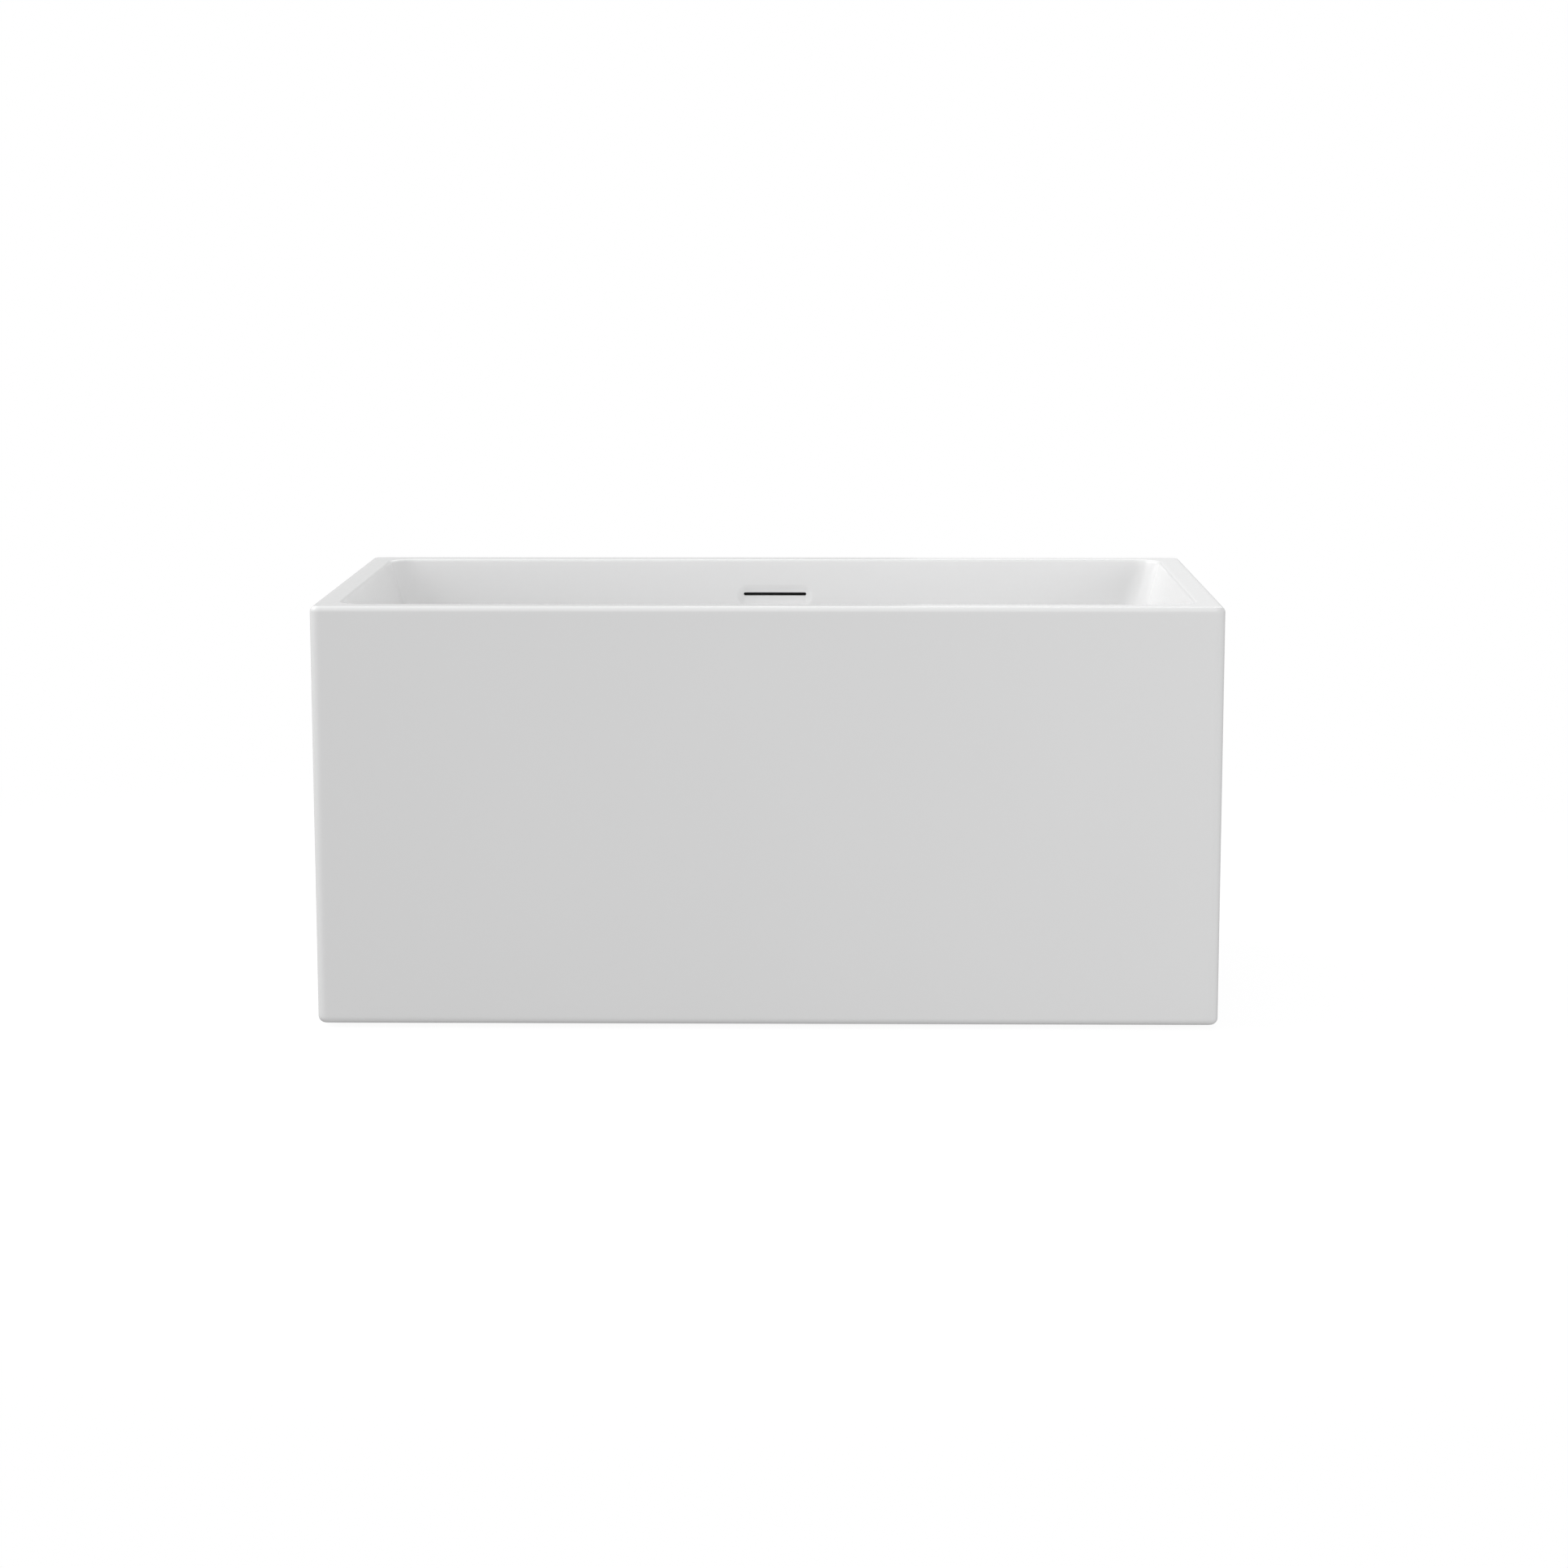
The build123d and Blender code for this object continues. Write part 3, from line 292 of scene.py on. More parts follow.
def level_ring(bm, half_x, half_y, radius, z):
    """Edges of a level rectangle with rounded corners. Every such ring has matching points."""
    before = set(bm.edges)
    signs = ((-1, -1), (1, -1), (1, 1), (-1, 1))
    corners = [bm.verts.new((x * half_x, y * half_y, z)) for x, y in signs]
    bm.faces.new(corners)
    bmesh.ops.bevel(
        bm, geom=corners, offset=radius, offset_type="OFFSET", segments=corner_steps,
        profile=0.5, affect="VERTICES", material=-1, clamp_overlap=False,
    )
    edges = [e for e in bm.edges if e not in before]
    straight = sorted(edges, key=lambda e: e.calc_length())[-4:]
    bmesh.ops.subdivide_edges(bm, edges=straight, cuts=side_cuts)
    edges = [e for e in bm.edges if e not in before]
    middle = (side_cuts + 1) // 2
    for vertex in {v for e in edges for v in e.verts}:
        for along, reach, across, edge in ((0, half_x, 1, half_y), (1, half_y, 0, half_x)):
            step = round(vertex.co[along] / (reach - radius) * middle)
            on_side = abs(abs(vertex.co[across]) - edge) < 1e-6
            on_straight = abs(vertex.co[along]) < reach - radius - 1e-6
            if on_side and on_straight and step:
                far = reach - radius - support
                spread = patch_half + (far - patch_half) * (abs(step) - 1) / (middle - 2)
                vertex.co[along] = spread if step > 0 else -spread
    bmesh.ops.delete(bm, geom=list({f for e in edges for f in e.link_faces}), context="FACES_ONLY")
    return edges


def round_ring(bm, centre, radius, z, segments=72):
    """Edges of a level circle."""
    made = bmesh.ops.create_circle(
        bm, cap_ends=False, radius=radius, segments=segments,
        matrix=Matrix.Translation((centre[0], centre[1], z)),
    )
    return list({e for v in made["verts"] for e in v.link_edges})


def bridge(bm, rings, material=0, axis=Vector((0, 0, 1))):
    """Walls from ring to ring. Rings at one height are held apart meanwhile, or the walls cross over."""
    for near, far in zip(rings, rings[1:]):
        near_points, far_points = ({v for e in ring for v in e.verts} for ring in (near, far))
        near_height, far_height = (
            sum(v.co.dot(axis) for v in points) / len(points) for points in (near_points, far_points)
        )
        lift = axis * (0.01 if abs(far_height - near_height) < 0.001 else 0.0)
        places = {v: v.co.copy() for v in far_points}
        bmesh.ops.translate(bm, verts=list(far_points), vec=lift)
        for face in bmesh.ops.bridge_loops(bm, edges=near + far)["faces"]:
            face.material_index = material
        for vertex, co in places.items():
            vertex.co = co


def wall_reach(z, mouth, slope, offset=0.0):
    """How far a sloping wall of the well stands from the middle at height z, moved out by offset."""
    return mouth - (top - z) * tan(slope) + offset / cos(slope)


def well_ring(bm, z, offset=0.0):
    """One level ring of the well, moved out by offset: wall, cove at its foot, round at its mouth."""
    reaches, pulled_in = [], 0.0
    for mouth, slope in ((mouth_x, end_slope), (mouth_y, side_slope)):
        wall = reach = wall_reach(z, mouth, slope, offset)
        bottom, curve = well_floor - offset, cove + offset
        flat = wall_reach(bottom, mouth, slope, offset) - curve * tan((pi / 2 - slope) / 2)
        if z < bottom + curve * (1 - sin(slope)):
            reach = flat + sqrt(max(curve**2 - (curve - (z - bottom)) ** 2, 0.0))
        centre = top - rim_inner_round
        if not offset and z > centre + rim_inner_round * sin(slope):
            edge = wall_reach(centre, mouth, slope) + rim_inner_round / cos(slope)
            reach = edge - sqrt(max(rim_inner_round**2 - (z - centre) ** 2, 0.0))
        reaches.append(reach)
        pulled_in += (reach - wall) / 2
    share = (z - well_floor) / (top - well_floor)
    corner = floor_corner + (rim_corner - floor_corner) * share + offset + pulled_in
    return level_ring(bm, *reaches, max(corner, 0.008), z)


def outline_ring(bm, inset, z, corner=None):
    """A level ring that follows the tub's outline, moved in by inset."""
    radius = max(outer_corner - inset, 0.002) if corner is None else corner
    return level_ring(bm, half_length - inset, half_width - inset, radius, z)


def arc(first, last, steps):
    """Angles from first to last degrees, in radians, with both ends."""
    return [radians(first + (last - first) * step / steps) for step in range(steps + 1)]


well_bm = bmesh.new()
slot_z = top - 0.0555
slot_half, slot_radius = 0.050, 0.0025
panel_tall = 0.028  # half the height of the wall panel on the wet side
pad_half, pad_tall = 0.080, 0.031
cove_rises = [cove * (1 - cos(angle)) for angle in arc(0, 84, 14)]
wall_heights = [0.24, 0.30, 0.37, 0.44, 0.50, slot_z - panel_tall, slot_z, slot_z + panel_tall, 0.594]
mouth_heights = [top - rim_inner_round * (1 - sin(angle)) for angle in arc(6, 90, 7)]
inside = [well_ring(well_bm, well_floor + rise) for rise in cove_rises]
inside += [well_ring(well_bm, z) for z in wall_heights + mouth_heights]
rim = [
    level_ring(well_bm, mouth_x + 0.009, mouth_y + 0.009, rim_corner + 0.009, top),
    outline_ring(well_bm, rim_outer_round + 0.003, top, 0.005),
]
for angle in arc(90, 0, 9):
    inset = rim_outer_round * (1 - cos(angle))
    rim.append(outline_ring(well_bm, inset, top - rim_outer_round * (1 - sin(angle))))
rim += [outline_ring(well_bm, 0.0, top - rim_outer_round - 0.002), outline_ring(well_bm, 0.0, seam)]
under = [
    rim[-1],
    outline_ring(well_bm, lip_wall, seam),
    outline_ring(well_bm, lip_wall, top - rim_thickness),
]
under_heights = [
    top - rim_thickness, slot_z + pad_tall, slot_z, slot_z - pad_tall, 0.44, 0.37, 0.30, 0.24,
]
under_heights += [basin_low.z + rise * (cove + shell) / cove for rise in reversed(cove_rises)]
under += [well_ring(well_bm, z, shell) for z in under_heights]
bridge(well_bm, inside + rim)
bridge(well_bm, under, 1)

# the flat floor of the well, the recess for the drain's flange and the hole
flange_low, flange_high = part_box("drain_flange")
drain = ((flange_low.x + flange_high.x) / 2, (flange_low.y + flange_high.y) / 2)
recess, recess_depth, recess_round, hole = 0.038, 0.003, 0.0012, 0.023
flat_x = wall_reach(well_floor, mouth_x, end_slope) - cove * tan((pi / 2 - end_slope) / 2)
flat_y = wall_reach(well_floor, mouth_y, side_slope) - cove * tan((pi / 2 - side_slope) / 2)
floor_rings = [
    inside[0],
    level_ring(well_bm, flat_x - 0.006, flat_y - 0.006, 0.008, well_floor),
    round_ring(well_bm, drain, recess + 0.006, well_floor),
]
for side, level, angles in (
    (1, well_floor, arc(0, 90, 3)), (-1, well_floor - recess_depth, arc(90, 0, 3)),
):
    for angle in angles:
        out_by = side * recess_round * (1 - sin(angle))
        down = side * recess_round * (1 - cos(angle))
        floor_rings.append(round_ring(well_bm, drain, recess + out_by, level - down))
floor_rings += [
    round_ring(well_bm, drain, hole + 0.0005, well_floor - recess_depth),
    round_ring(well_bm, drain, hole, well_floor - recess_depth - 0.0005),
]
bridge(well_bm, floor_rings)
bridge(well_bm, [
    floor_rings[-1],
    round_ring(well_bm, drain, hole, basin_low.z),
    level_ring(well_bm, flat_x - 0.008, flat_y - 0.008, 0.010, basin_low.z),
    under[-1],
], 1)

# the overflow: a shallow hollow pressed in with a soft edge, a slot through it, a pad behind
hollow_radius, hollow_depth, hollow_half, hollow_edge = 0.032, 0.0045, 0.042, 0.0018
slot_wall = wall_reach(slot_z, mouth_y, side_slope)
pad_face = slot_wall + hollow_depth + 0.008
mouth_round = 0.0008


def hollow_wall(x, z):
    """Where the back wall stands at a point near the slot, hollow included."""
    plain = wall_reach(z, mouth_y, side_slope)
    beyond = max(abs(x) - hollow_half, 0.0)
    inside_ball = hollow_radius**2 - beyond**2 - (z - slot_z) ** 2
    pressed = slot_wall + hollow_depth - hollow_radius + sqrt(max(inside_ball, 0.0))
    blend = max(hollow_edge - abs(pressed - plain), 0.0) ** 2 / (4 * hollow_edge)
    return max(plain, pressed) + blend


def slot_ring(bm, half, radius, drop=0.0, back=0.0, flat=None):
    """Edges of an upright ring with round ends about the slot, on the hollowed wall or at a flat y."""
    made = bmesh.ops.create_circle(
        bm, cap_ends=False, radius=radius, segments=48, matrix=Matrix.Rotation(pi / 2, 4, "X"),
    )
    ring = list({e for v in made["verts"] for e in v.link_edges})
    for vertex in made["verts"]:
        reach = half * (1 - 1e-4) if abs(vertex.co.x) > 1e-6 else 0.0
        vertex.co.x += reach if vertex.co.x > 0 else -reach
        vertex.co.z += slot_z - drop
        vertex.co.y = hollow_wall(vertex.co.x, vertex.co.z) + back if flat is None else flat
    return ring


def open_panel(bm, tall, wet):
    """Takes out the wall panel at the overflow, on the wet or the dry side, and returns its edge."""
    panel = set()
    for face in bm.faces:
        middle = face.calc_center_median()
        on_wet_side = middle.y < wall_reach(middle.z, mouth_y, side_slope) + shell / 2
        if abs(middle.x) < patch_half and abs(middle.z - slot_z) < tall and on_wet_side == wet:
            if mouth_y - 0.02 < middle.y < mouth_y + shell:
                panel.add(face)
    edge = [e for e in {e for f in panel for e in f.edges} if len(panel.intersection(e.link_faces)) == 1]
    bmesh.ops.delete(bm, geom=list(panel), context="FACES")
    return edge


towards_back = Vector((0, 1, 0))
slot_straight = slot_half - slot_radius
slot_rings = [open_panel(well_bm, panel_tall, True)]
pad_edge = open_panel(well_bm, pad_tall, False)
for step in range(15):
    share = step / 14
    slot_rings.append(slot_ring(
        well_bm, hollow_half + (slot_straight - hollow_half) * share,
        0.0225 + (slot_radius + mouth_round - 0.0225) * share, 0.0028 * (1 - share),
    ))
for angle in arc(30, 90, 2):
    out_by, back = mouth_round * (1 - sin(angle)), mouth_round * (1 - cos(angle))
    slot_rings.append(slot_ring(well_bm, slot_straight, slot_radius + out_by, back=back))
slot_rings.append(slot_ring(well_bm, slot_straight, slot_radius, flat=pad_face - 0.0015))
slot_rings.append(slot_ring(well_bm, slot_straight, slot_radius, flat=pad_face))
bridge(well_bm, slot_rings, 0, towards_back)
made = bmesh.ops.extrude_edge_only(well_bm, edges=pad_edge)["geom"]
pad_rim = [e for e in made if isinstance(e, bmesh.types.BMEdge)]
for vertex in (v for v in made if isinstance(v, bmesh.types.BMVert)):
    vertex.co.x *= pad_half / patch_half
    vertex.co.y = pad_face
for face in {f for e in pad_rim for f in e.link_faces}:
    face.material_index = 1
bridge(well_bm, [pad_rim, slot_rings[-1]], 1, towards_back)
acrylic = gloss_acrylic("gloss_white_acrylic")
fibre = glass_fibre("glass_fibre_backing")
piece_from(well_bm, "well_shell", "root", "white_acrylic", ["basin"], acrylic, fibre)


# ---- Outer skirt ---------------------------------------------------------------------------------
# A second formed sheet with upright walls and small rounded edges. It butts up under the rim's lip
# in a polished joint. Its foot turns in as a flange, screwed from below to the frame's brackets.
skirt_low, skirt_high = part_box("skirt")
foot_round, skirt_wall, flange_reach = 0.010, 0.005, 0.025
band, tongue = 0.0105, 0.0055  # insets of the thick band's inner face and of the tongue's outer face
skirt_bm = bmesh.new()
heights = (seam, seam - 0.02, 0.45, 0.30, 0.15, skirt_low.z + foot_round + 0.003)
outside = [outline_ring(skirt_bm, 0.0, z) for z in heights]
for angle in arc(0, 90, 9):
    inset = foot_round * (1 - cos(angle))
    outside.append(outline_ring(skirt_bm, inset, skirt_low.z + foot_round * (1 - sin(angle))))
outside += [
    outline_ring(skirt_bm, foot_round + 0.002, skirt_low.z),
    outline_ring(skirt_bm, flange_reach, skirt_low.z, 0.008),
]
hidden = [outside[-1], outline_ring(skirt_bm, flange_reach, skirt_low.z + skirt_wall, 0.008)]
for angle in arc(90, 0, 6):
    inset = foot_round - skirt_wall * cos(angle)
    rise = skirt_wall * (1 - sin(angle))
    hidden.append(outline_ring(skirt_bm, inset, skirt_low.z + skirt_wall + rise))
hidden += [
    outline_ring(skirt_bm, skirt_wall, seam - 0.015),
    outline_ring(skirt_bm, band, seam - 0.015),
    outline_ring(skirt_bm, band, skirt_high.z),
    outline_ring(skirt_bm, tongue, skirt_high.z),
    outline_ring(skirt_bm, tongue, seam),
    outside[0],
]
bridge(skirt_bm, outside)
bridge(skirt_bm, hidden, 1)
foot_x = half_length - 0.2475
screw_side = 0.030
screw_places = [
    (sx * (foot_x + screw_side), sy * (half_width - 0.016)) for sx in (-1, 1) for sy in (-1, 1)
]
screw_places += [(sx * (half_length - 0.016), screw_side) for sx in (-1, 1)]


def combine(piece, bm, operation):
    """Cuts closed shapes out of a piece, or joins them to it."""
    bmesh.ops.recalc_face_normals(bm, faces=bm.faces)
    tool_mesh = bpy.data.meshes.new("tool")
    bm.to_mesh(tool_mesh)
    bm.free()
    tool = bpy.data.objects.new("tool", tool_mesh)
    scene.collection.objects.link(tool)
    step = piece.modifiers.new("step", "BOOLEAN")
    step.object, step.operation, step.solver = tool, operation, "EXACT"
    mesh = bpy.data.meshes.new_from_object(piece.evaluated_get(bpy.context.evaluated_depsgraph_get()))
    piece.modifiers.clear()
    piece.data = mesh
    mesh.shade_smooth()
    mesh.set_sharp_from_angle(angle=radians(34))
    bpy.data.objects.remove(tool)


skirt = piece_from(skirt_bm, "outer_skirt", "root", "white_acrylic", ["skirt"], acrylic, fibre)
screw_hole, countersink = 0.0033, 0.0059
cutter_bm = bmesh.new()
for x, y in screw_places:
    cutter_profile = (
        (countersink + 0.001, skirt_low.z - 0.001),
        (screw_hole, skirt_low.z + countersink - screw_hole),
        (screw_hole, skirt_low.z + skirt_wall + 0.001),
    )
    bridge(cutter_bm, [round_ring(cutter_bm, (x, y), r, z, 32) for r, z in cutter_profile])
bmesh.ops.holes_fill(cutter_bm, edges=cutter_bm.edges)
combine(skirt, cutter_bm, "DIFFERENCE")

# ---- Bond and spacers ----------------------------------------------------------------------------
# A bead of white adhesive sealant holds the skirt's tongue inside the lip. Four blocks of stiff
# grey foam, glued face to face, keep the well and the skirt apart half way up.
def paint(material, *names):
    """Gives a finish to CAD nodes whose shape stays as it is."""
    for name in names:
        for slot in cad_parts[name].material_slots:
            slot.material = material


def moulded(name, colour, roughness, grain, relief, mottle=0.08, sheen=0.0):
    """Moulded plastic, rubber or foam: a fine moulded grain over one colour that varies a little."""
    material = bpy.data.materials.new(name)
    nodes, links = nodes_of(material)
    place = nodes.new("ShaderNodeTexCoord")
    grains = nodes.new("ShaderNodeTexNoise")
    grains.inputs["Scale"].default_value = grain
    grains.inputs["Detail"].default_value = 3.0
    clouds = nodes.new("ShaderNodeTexNoise")
    clouds.inputs["Scale"].default_value = grain / 12
    clouds.inputs["Detail"].default_value = 2.0
    shade = nodes.new("ShaderNodeValToRGB")
    shade.color_ramp.elements[0].position = 0.3
    shade.color_ramp.elements[0].color = (*[c * (1 - mottle) for c in colour], 1.0)
    shade.color_ramp.elements[1].position = 0.7
    shade.color_ramp.elements[1].color = (*[min(c * (1 + mottle), 1.0) for c in colour], 1.0)
    rough = nodes.new("ShaderNodeMapRange")
    rough.inputs["To Min"].default_value = roughness - 0.07
    rough.inputs["To Max"].default_value = roughness + 0.07
    bump = nodes.new("ShaderNodeBump")
    bump.inputs["Strength"].default_value = 0.5
    bump.inputs["Distance"].default_value = relief
    surface = nodes.new("ShaderNodeBsdfPrincipled")
    surface.inputs["Sheen Weight"].default_value = sheen
    out = nodes.new("ShaderNodeOutputMaterial")
    links.new(place.outputs["Object"], grains.inputs["Vector"])
    links.new(place.outputs["Object"], clouds.inputs["Vector"])
    links.new(clouds.outputs[0], shade.inputs[0])
    links.new(grains.outputs[0], rough.inputs["Value"])
    links.new(grains.outputs[0], bump.inputs["Height"])
    links.new(shade.outputs[0], surface.inputs["Base Color"])
    links.new(rough.outputs[0], surface.inputs["Roughness"])
    links.new(bump.outputs[0], surface.inputs["Normal"])
    links.new(surface.outputs[0], out.inputs["Surface"])
    return material


paint(moulded("white_sealant", (0.78, 0.78, 0.75), 0.55, 160.0, 0.0006), "rim_bond")
spacers = [f"spacer_{side}_{end}" for side in ("front", "back") for end in ("left", "right")]
paint(moulded("grey_foam", (0.20, 0.21, 0.22), 0.9, 900.0, 0.0008, 0.25, 0.2), *spacers)


# ---- Base board ----------------------------------------------------------------------------------
# A 12 mm particle board, laminated under the floor of the well and sealed with brushed-on resin.
def particle_board(name):
    """Pressed wood chips of many browns under a thin coat of resin."""
    material = bpy.data.materials.new(name)
    nodes, links = nodes_of(material)
    place = nodes.new("ShaderNodeTexCoord")
    flow = nodes.new("ShaderNodeTexNoise")
    flow.inputs["Scale"].default_value = 30.0
    bent = nodes.new("ShaderNodeMix")
    bent.data_type = "VECTOR"
    bent.inputs["Factor"].default_value = 0.06
    chips = nodes.new("ShaderNodeTexVoronoi")
    chips.inputs["Scale"].default_value = 210.0
    dust = nodes.new("ShaderNodeTexNoise")
    dust.inputs["Scale"].default_value = 900.0
    dust.inputs["Detail"].default_value = 3.0
    browns = nodes.new("ShaderNodeValToRGB")
    browns.color_ramp.elements[0].color = (0.23, 0.13, 0.06, 1.0)
    browns.color_ramp.elements[1].color = (0.60, 0.44, 0.26, 1.0)
    middle = browns.color_ramp.elements.new(0.45)
    middle.color = (0.43, 0.29, 0.15, 1.0)
    chip_edges = nodes.new("ShaderNodeBump")
    chip_edges.inputs["Strength"].default_value = 0.5
    chip_edges.inputs["Distance"].default_value = 0.0006
    pores = nodes.new("ShaderNodeBump")
    pores.inputs["Strength"].default_value = 0.3
    pores.inputs["Distance"].default_value = 0.0003
    rough = nodes.new("ShaderNodeMapRange")
    rough.inputs["To Min"].default_value = 0.5
    rough.inputs["To Max"].default_value = 0.8
    wood = nodes.new("ShaderNodeBsdfPrincipled")
    out = nodes.new("ShaderNodeOutputMaterial")
    links.new(place.outputs["Object"], flow.inputs["Vector"])
    links.new(place.outputs["Object"], bent.inputs["A"])
    links.new(flow.outputs["Color"], bent.inputs["B"])
    links.new(bent.outputs["Result"], chips.inputs["Vector"])
    links.new(place.outputs["Object"], dust.inputs["Vector"])
    links.new(chips.outputs["Color"], browns.inputs[0])
    links.new(chips.outputs["Distance"], chip_edges.inputs["Height"])
    links.new(dust.outputs[0], pores.inputs["Height"])
    links.new(chip_edges.outputs[0], pores.inputs["Normal"])
    links.new(dust.outputs[0], rough.inputs["Value"])
    links.new(browns.outputs[0], wood.inputs["Base Color"])
    links.new(rough.outputs[0], wood.inputs["Roughness"])
    links.new(pores.outputs[0], wood.inputs["Normal"])
    links.new(wood.outputs[0], out.inputs["Surface"])
    return material


paint(particle_board("particle_board"), "base_board")


# ---- Steel frame ---------------------------------------------------------------------------------
# Square steel tube, cut and welded, with a black powder coat: three rails under the board and three
# cross tubes under the rails. Black plastic caps are pushed into the open ends.
paint(
    moulded("powder_coat", (0.018, 0.018, 0.019), 0.42, 700.0, 0.0004, 0.15),
    "rail_front", "rail_middle", "rail_back", "cross_tube_left", "cross_tube_right", "cross_tube_centre",
)
black_plastic = moulded("black_plastic", (0.022, 0.022, 0.023), 0.5, 1100.0, 0.0003, 0.12)
paint(black_plastic, "tube_end_caps")


# ---- Brackets and fasteners ----------------------------------------------------------------------
# Bent 3 mm plates, zinc plated, tie the skirt's flange to the frame. Each has two M6 hexagon bolts
# through the tube, and one M6 countersunk screw up through the flange, all with hexagon nuts.
def plated(name, colour, roughness, spangle, scratch):
    """Plated or polished metal with a faint spangle and fine scratches."""
    material = bpy.data.materials.new(name)
    nodes, links = nodes_of(material)
    place = nodes.new("ShaderNodeTexCoord")
    crystals = nodes.new("ShaderNodeTexVoronoi")
    crystals.inputs["Scale"].default_value = 160.0
    drawn = nodes.new("ShaderNodeMapping")
    drawn.inputs["Scale"].default_value = (1.0, 1.0, 14.0)
    lines = nodes.new("ShaderNodeTexNoise")
    lines.inputs["Scale"].default_value = 420.0
    lines.inputs["Detail"].default_value = 4.0
    shade = nodes.new("ShaderNodeValToRGB")
    shade.color_ramp.elements[0].color = (*[c * (1 - spangle) for c in colour], 1.0)
    shade.color_ramp.elements[1].color = (*colour, 1.0)
    rough = nodes.new("ShaderNodeMapRange")
    rough.inputs["To Min"].default_value = roughness * 0.7
    rough.inputs["To Max"].default_value = roughness * 1.4
    bump = nodes.new("ShaderNodeBump")
    bump.inputs["Strength"].default_value = 0.3
    bump.inputs["Distance"].default_value = scratch
    metal = nodes.new("ShaderNodeBsdfPrincipled")
    metal.inputs["Metallic"].default_value = 1.0
    out = nodes.new("ShaderNodeOutputMaterial")
    links.new(place.outputs["Object"], crystals.inputs["Vector"])
    links.new(place.outputs["Object"], drawn.inputs["Vector"])
    links.new(drawn.outputs[0], lines.inputs["Vector"])
    links.new(crystals.outputs["Color"], shade.inputs[0])
    links.new(lines.outputs[0], rough.inputs["Value"])
    links.new(lines.outputs[0], bump.inputs["Height"])
    links.new(shade.outputs[0], metal.inputs["Base Color"])
    links.new(rough.outputs[0], metal.inputs["Roughness"])
    links.new(bump.outputs[0], metal.inputs["Normal"])
    links.new(metal.outputs[0], out.inputs["Surface"])
    return material


ends = ("left", "right")
plates = [f"bracket_{end}" for end in ends]
plates += [f"bracket_{side}_{end}" for side in ("front", "back") for end in ends]
paint(plated("zinc_plate", (0.66, 0.68, 0.70), 0.34, 0.22, 0.0002), *plates)
bright_zinc = plated("bright_zinc", (0.74, 0.75, 0.77), 0.24, 0.10, 0.0001)


def turned(bm, profile, centre=(0.0, 0.0), steps=24, ring=False):
    """Turns (radius, height) points about an upright axis and returns the new points."""
    before = set(bm.verts)
    points = [bm.verts.new((centre[0] + radius, centre[1], z)) for radius, z in profile]
    edges = [bm.edges.new(pair) for pair in zip(points, points[1:])]
    if ring:
        edges.append(bm.edges.new((points[-1], points[0])))
    bmesh.ops.spin(
        bm, geom=points + edges, cent=(*centre, 0.0), axis=(0, 0, 1), angle=2 * pi, steps=steps,
        use_merge=True,
    )
    bmesh.ops.remove_doubles(bm, verts=[v for v in bm.verts if v not in before], dist=1e-6)
    return [v for v in bm.verts if v not in before]


def six_sided(points, centre, flats):
    """Flattens turned points into a hexagon with that width across its flats."""
    for vertex in points:
        x, y = vertex.co.x - centre[0], vertex.co.y - centre[1]
        reach = flats / 2 / cos(atan2(y, x) % (pi / 3) - pi / 6)
        shrink = min(reach / max(sqrt(x * x + y * y), 1e-9), 1.0)
        vertex.co.x, vertex.co.y = centre[0] + x * shrink, centre[1] + y * shrink


def threaded(points, centre, radius, pitch):
    """Presses a screw thread into the turned points at that radius."""
    for vertex in points:
        x, y = vertex.co.x - centre[0], vertex.co.y - centre[1]
        if abs(sqrt(x * x + y * y) - radius) < 1e-5:
            phase = (vertex.co.z / pitch - atan2(y, x) / (2 * pi)) % 1.0
            depth = 0.61 * pitch * min(max(1.3 * (1 - abs(2 * phase - 1)) - 0.15, 0.0), 1.0)
            kept = 1 - depth / radius
            vertex.co.x, vertex.co.y = centre[0] + x * kept, centre[1] + y * kept


def evenly(first, last, step):
    """Heights from first to last, about a step apart."""
    count = max(round(abs(last - first) / step), 1)
    return [first + (last - first) * k / count for k in range(count + 1)]


def nut_profile(bore, corner, low, high):
    """Section of a hexagon nut whose corners are chamfered above and below."""
    edge = (corner - bore) * 0.32
    return [
        (bore, low + 0.0004), (bore + 0.0004, low), (corner - edge, low), (corner, low + edge * 0.55),
        (corner, high - edge * 0.55), (corner - edge, high),
        (bore + 0.0004, high), (bore, high - 0.0004),
    ]


bolt_radius, bolt_corner, bolt_head = 0.003, 0.0058, 0.004
nut_bore = bolt_radius + 0.0001
plate, tube = 0.003, 0.030
flats = 2 * bolt_corner * cos(pi / 6)
rail_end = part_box("rail_middle")[1].x
cross_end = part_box("cross_tube_left")[1].y
rail_height = sum(corner.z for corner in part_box("rail_middle")) / 2
cross_height = sum(corner.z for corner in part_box("cross_tube_left")) / 2
bolt_turns = []  # each turns +Z into the outward direction of its bolt, at the plate's face
cross_face = foot_x + tube / 2 + plate
for sx in (-1, 1):
    for inset in (0.015, 0.055):
        for sy in (-1, 1):
            spot = Matrix.Translation((sx * cross_face, sy * (cross_end - inset), cross_height))
            bolt_turns.append(spot @ Matrix.Rotation(sx * pi / 2, 4, "Y"))
        spot = Matrix.Translation((sx * (rail_end - inset), tube / 2 + plate, rail_height))
        bolt_turns.append(spot @ Matrix.Rotation(-pi / 2, 4, "X"))
bolt_bm, nut_bm, screw_bm = bmesh.new(), bmesh.new(), bmesh.new()
middle = (0.0, 0.0)
shank = plate + tube + 2 * bolt_head
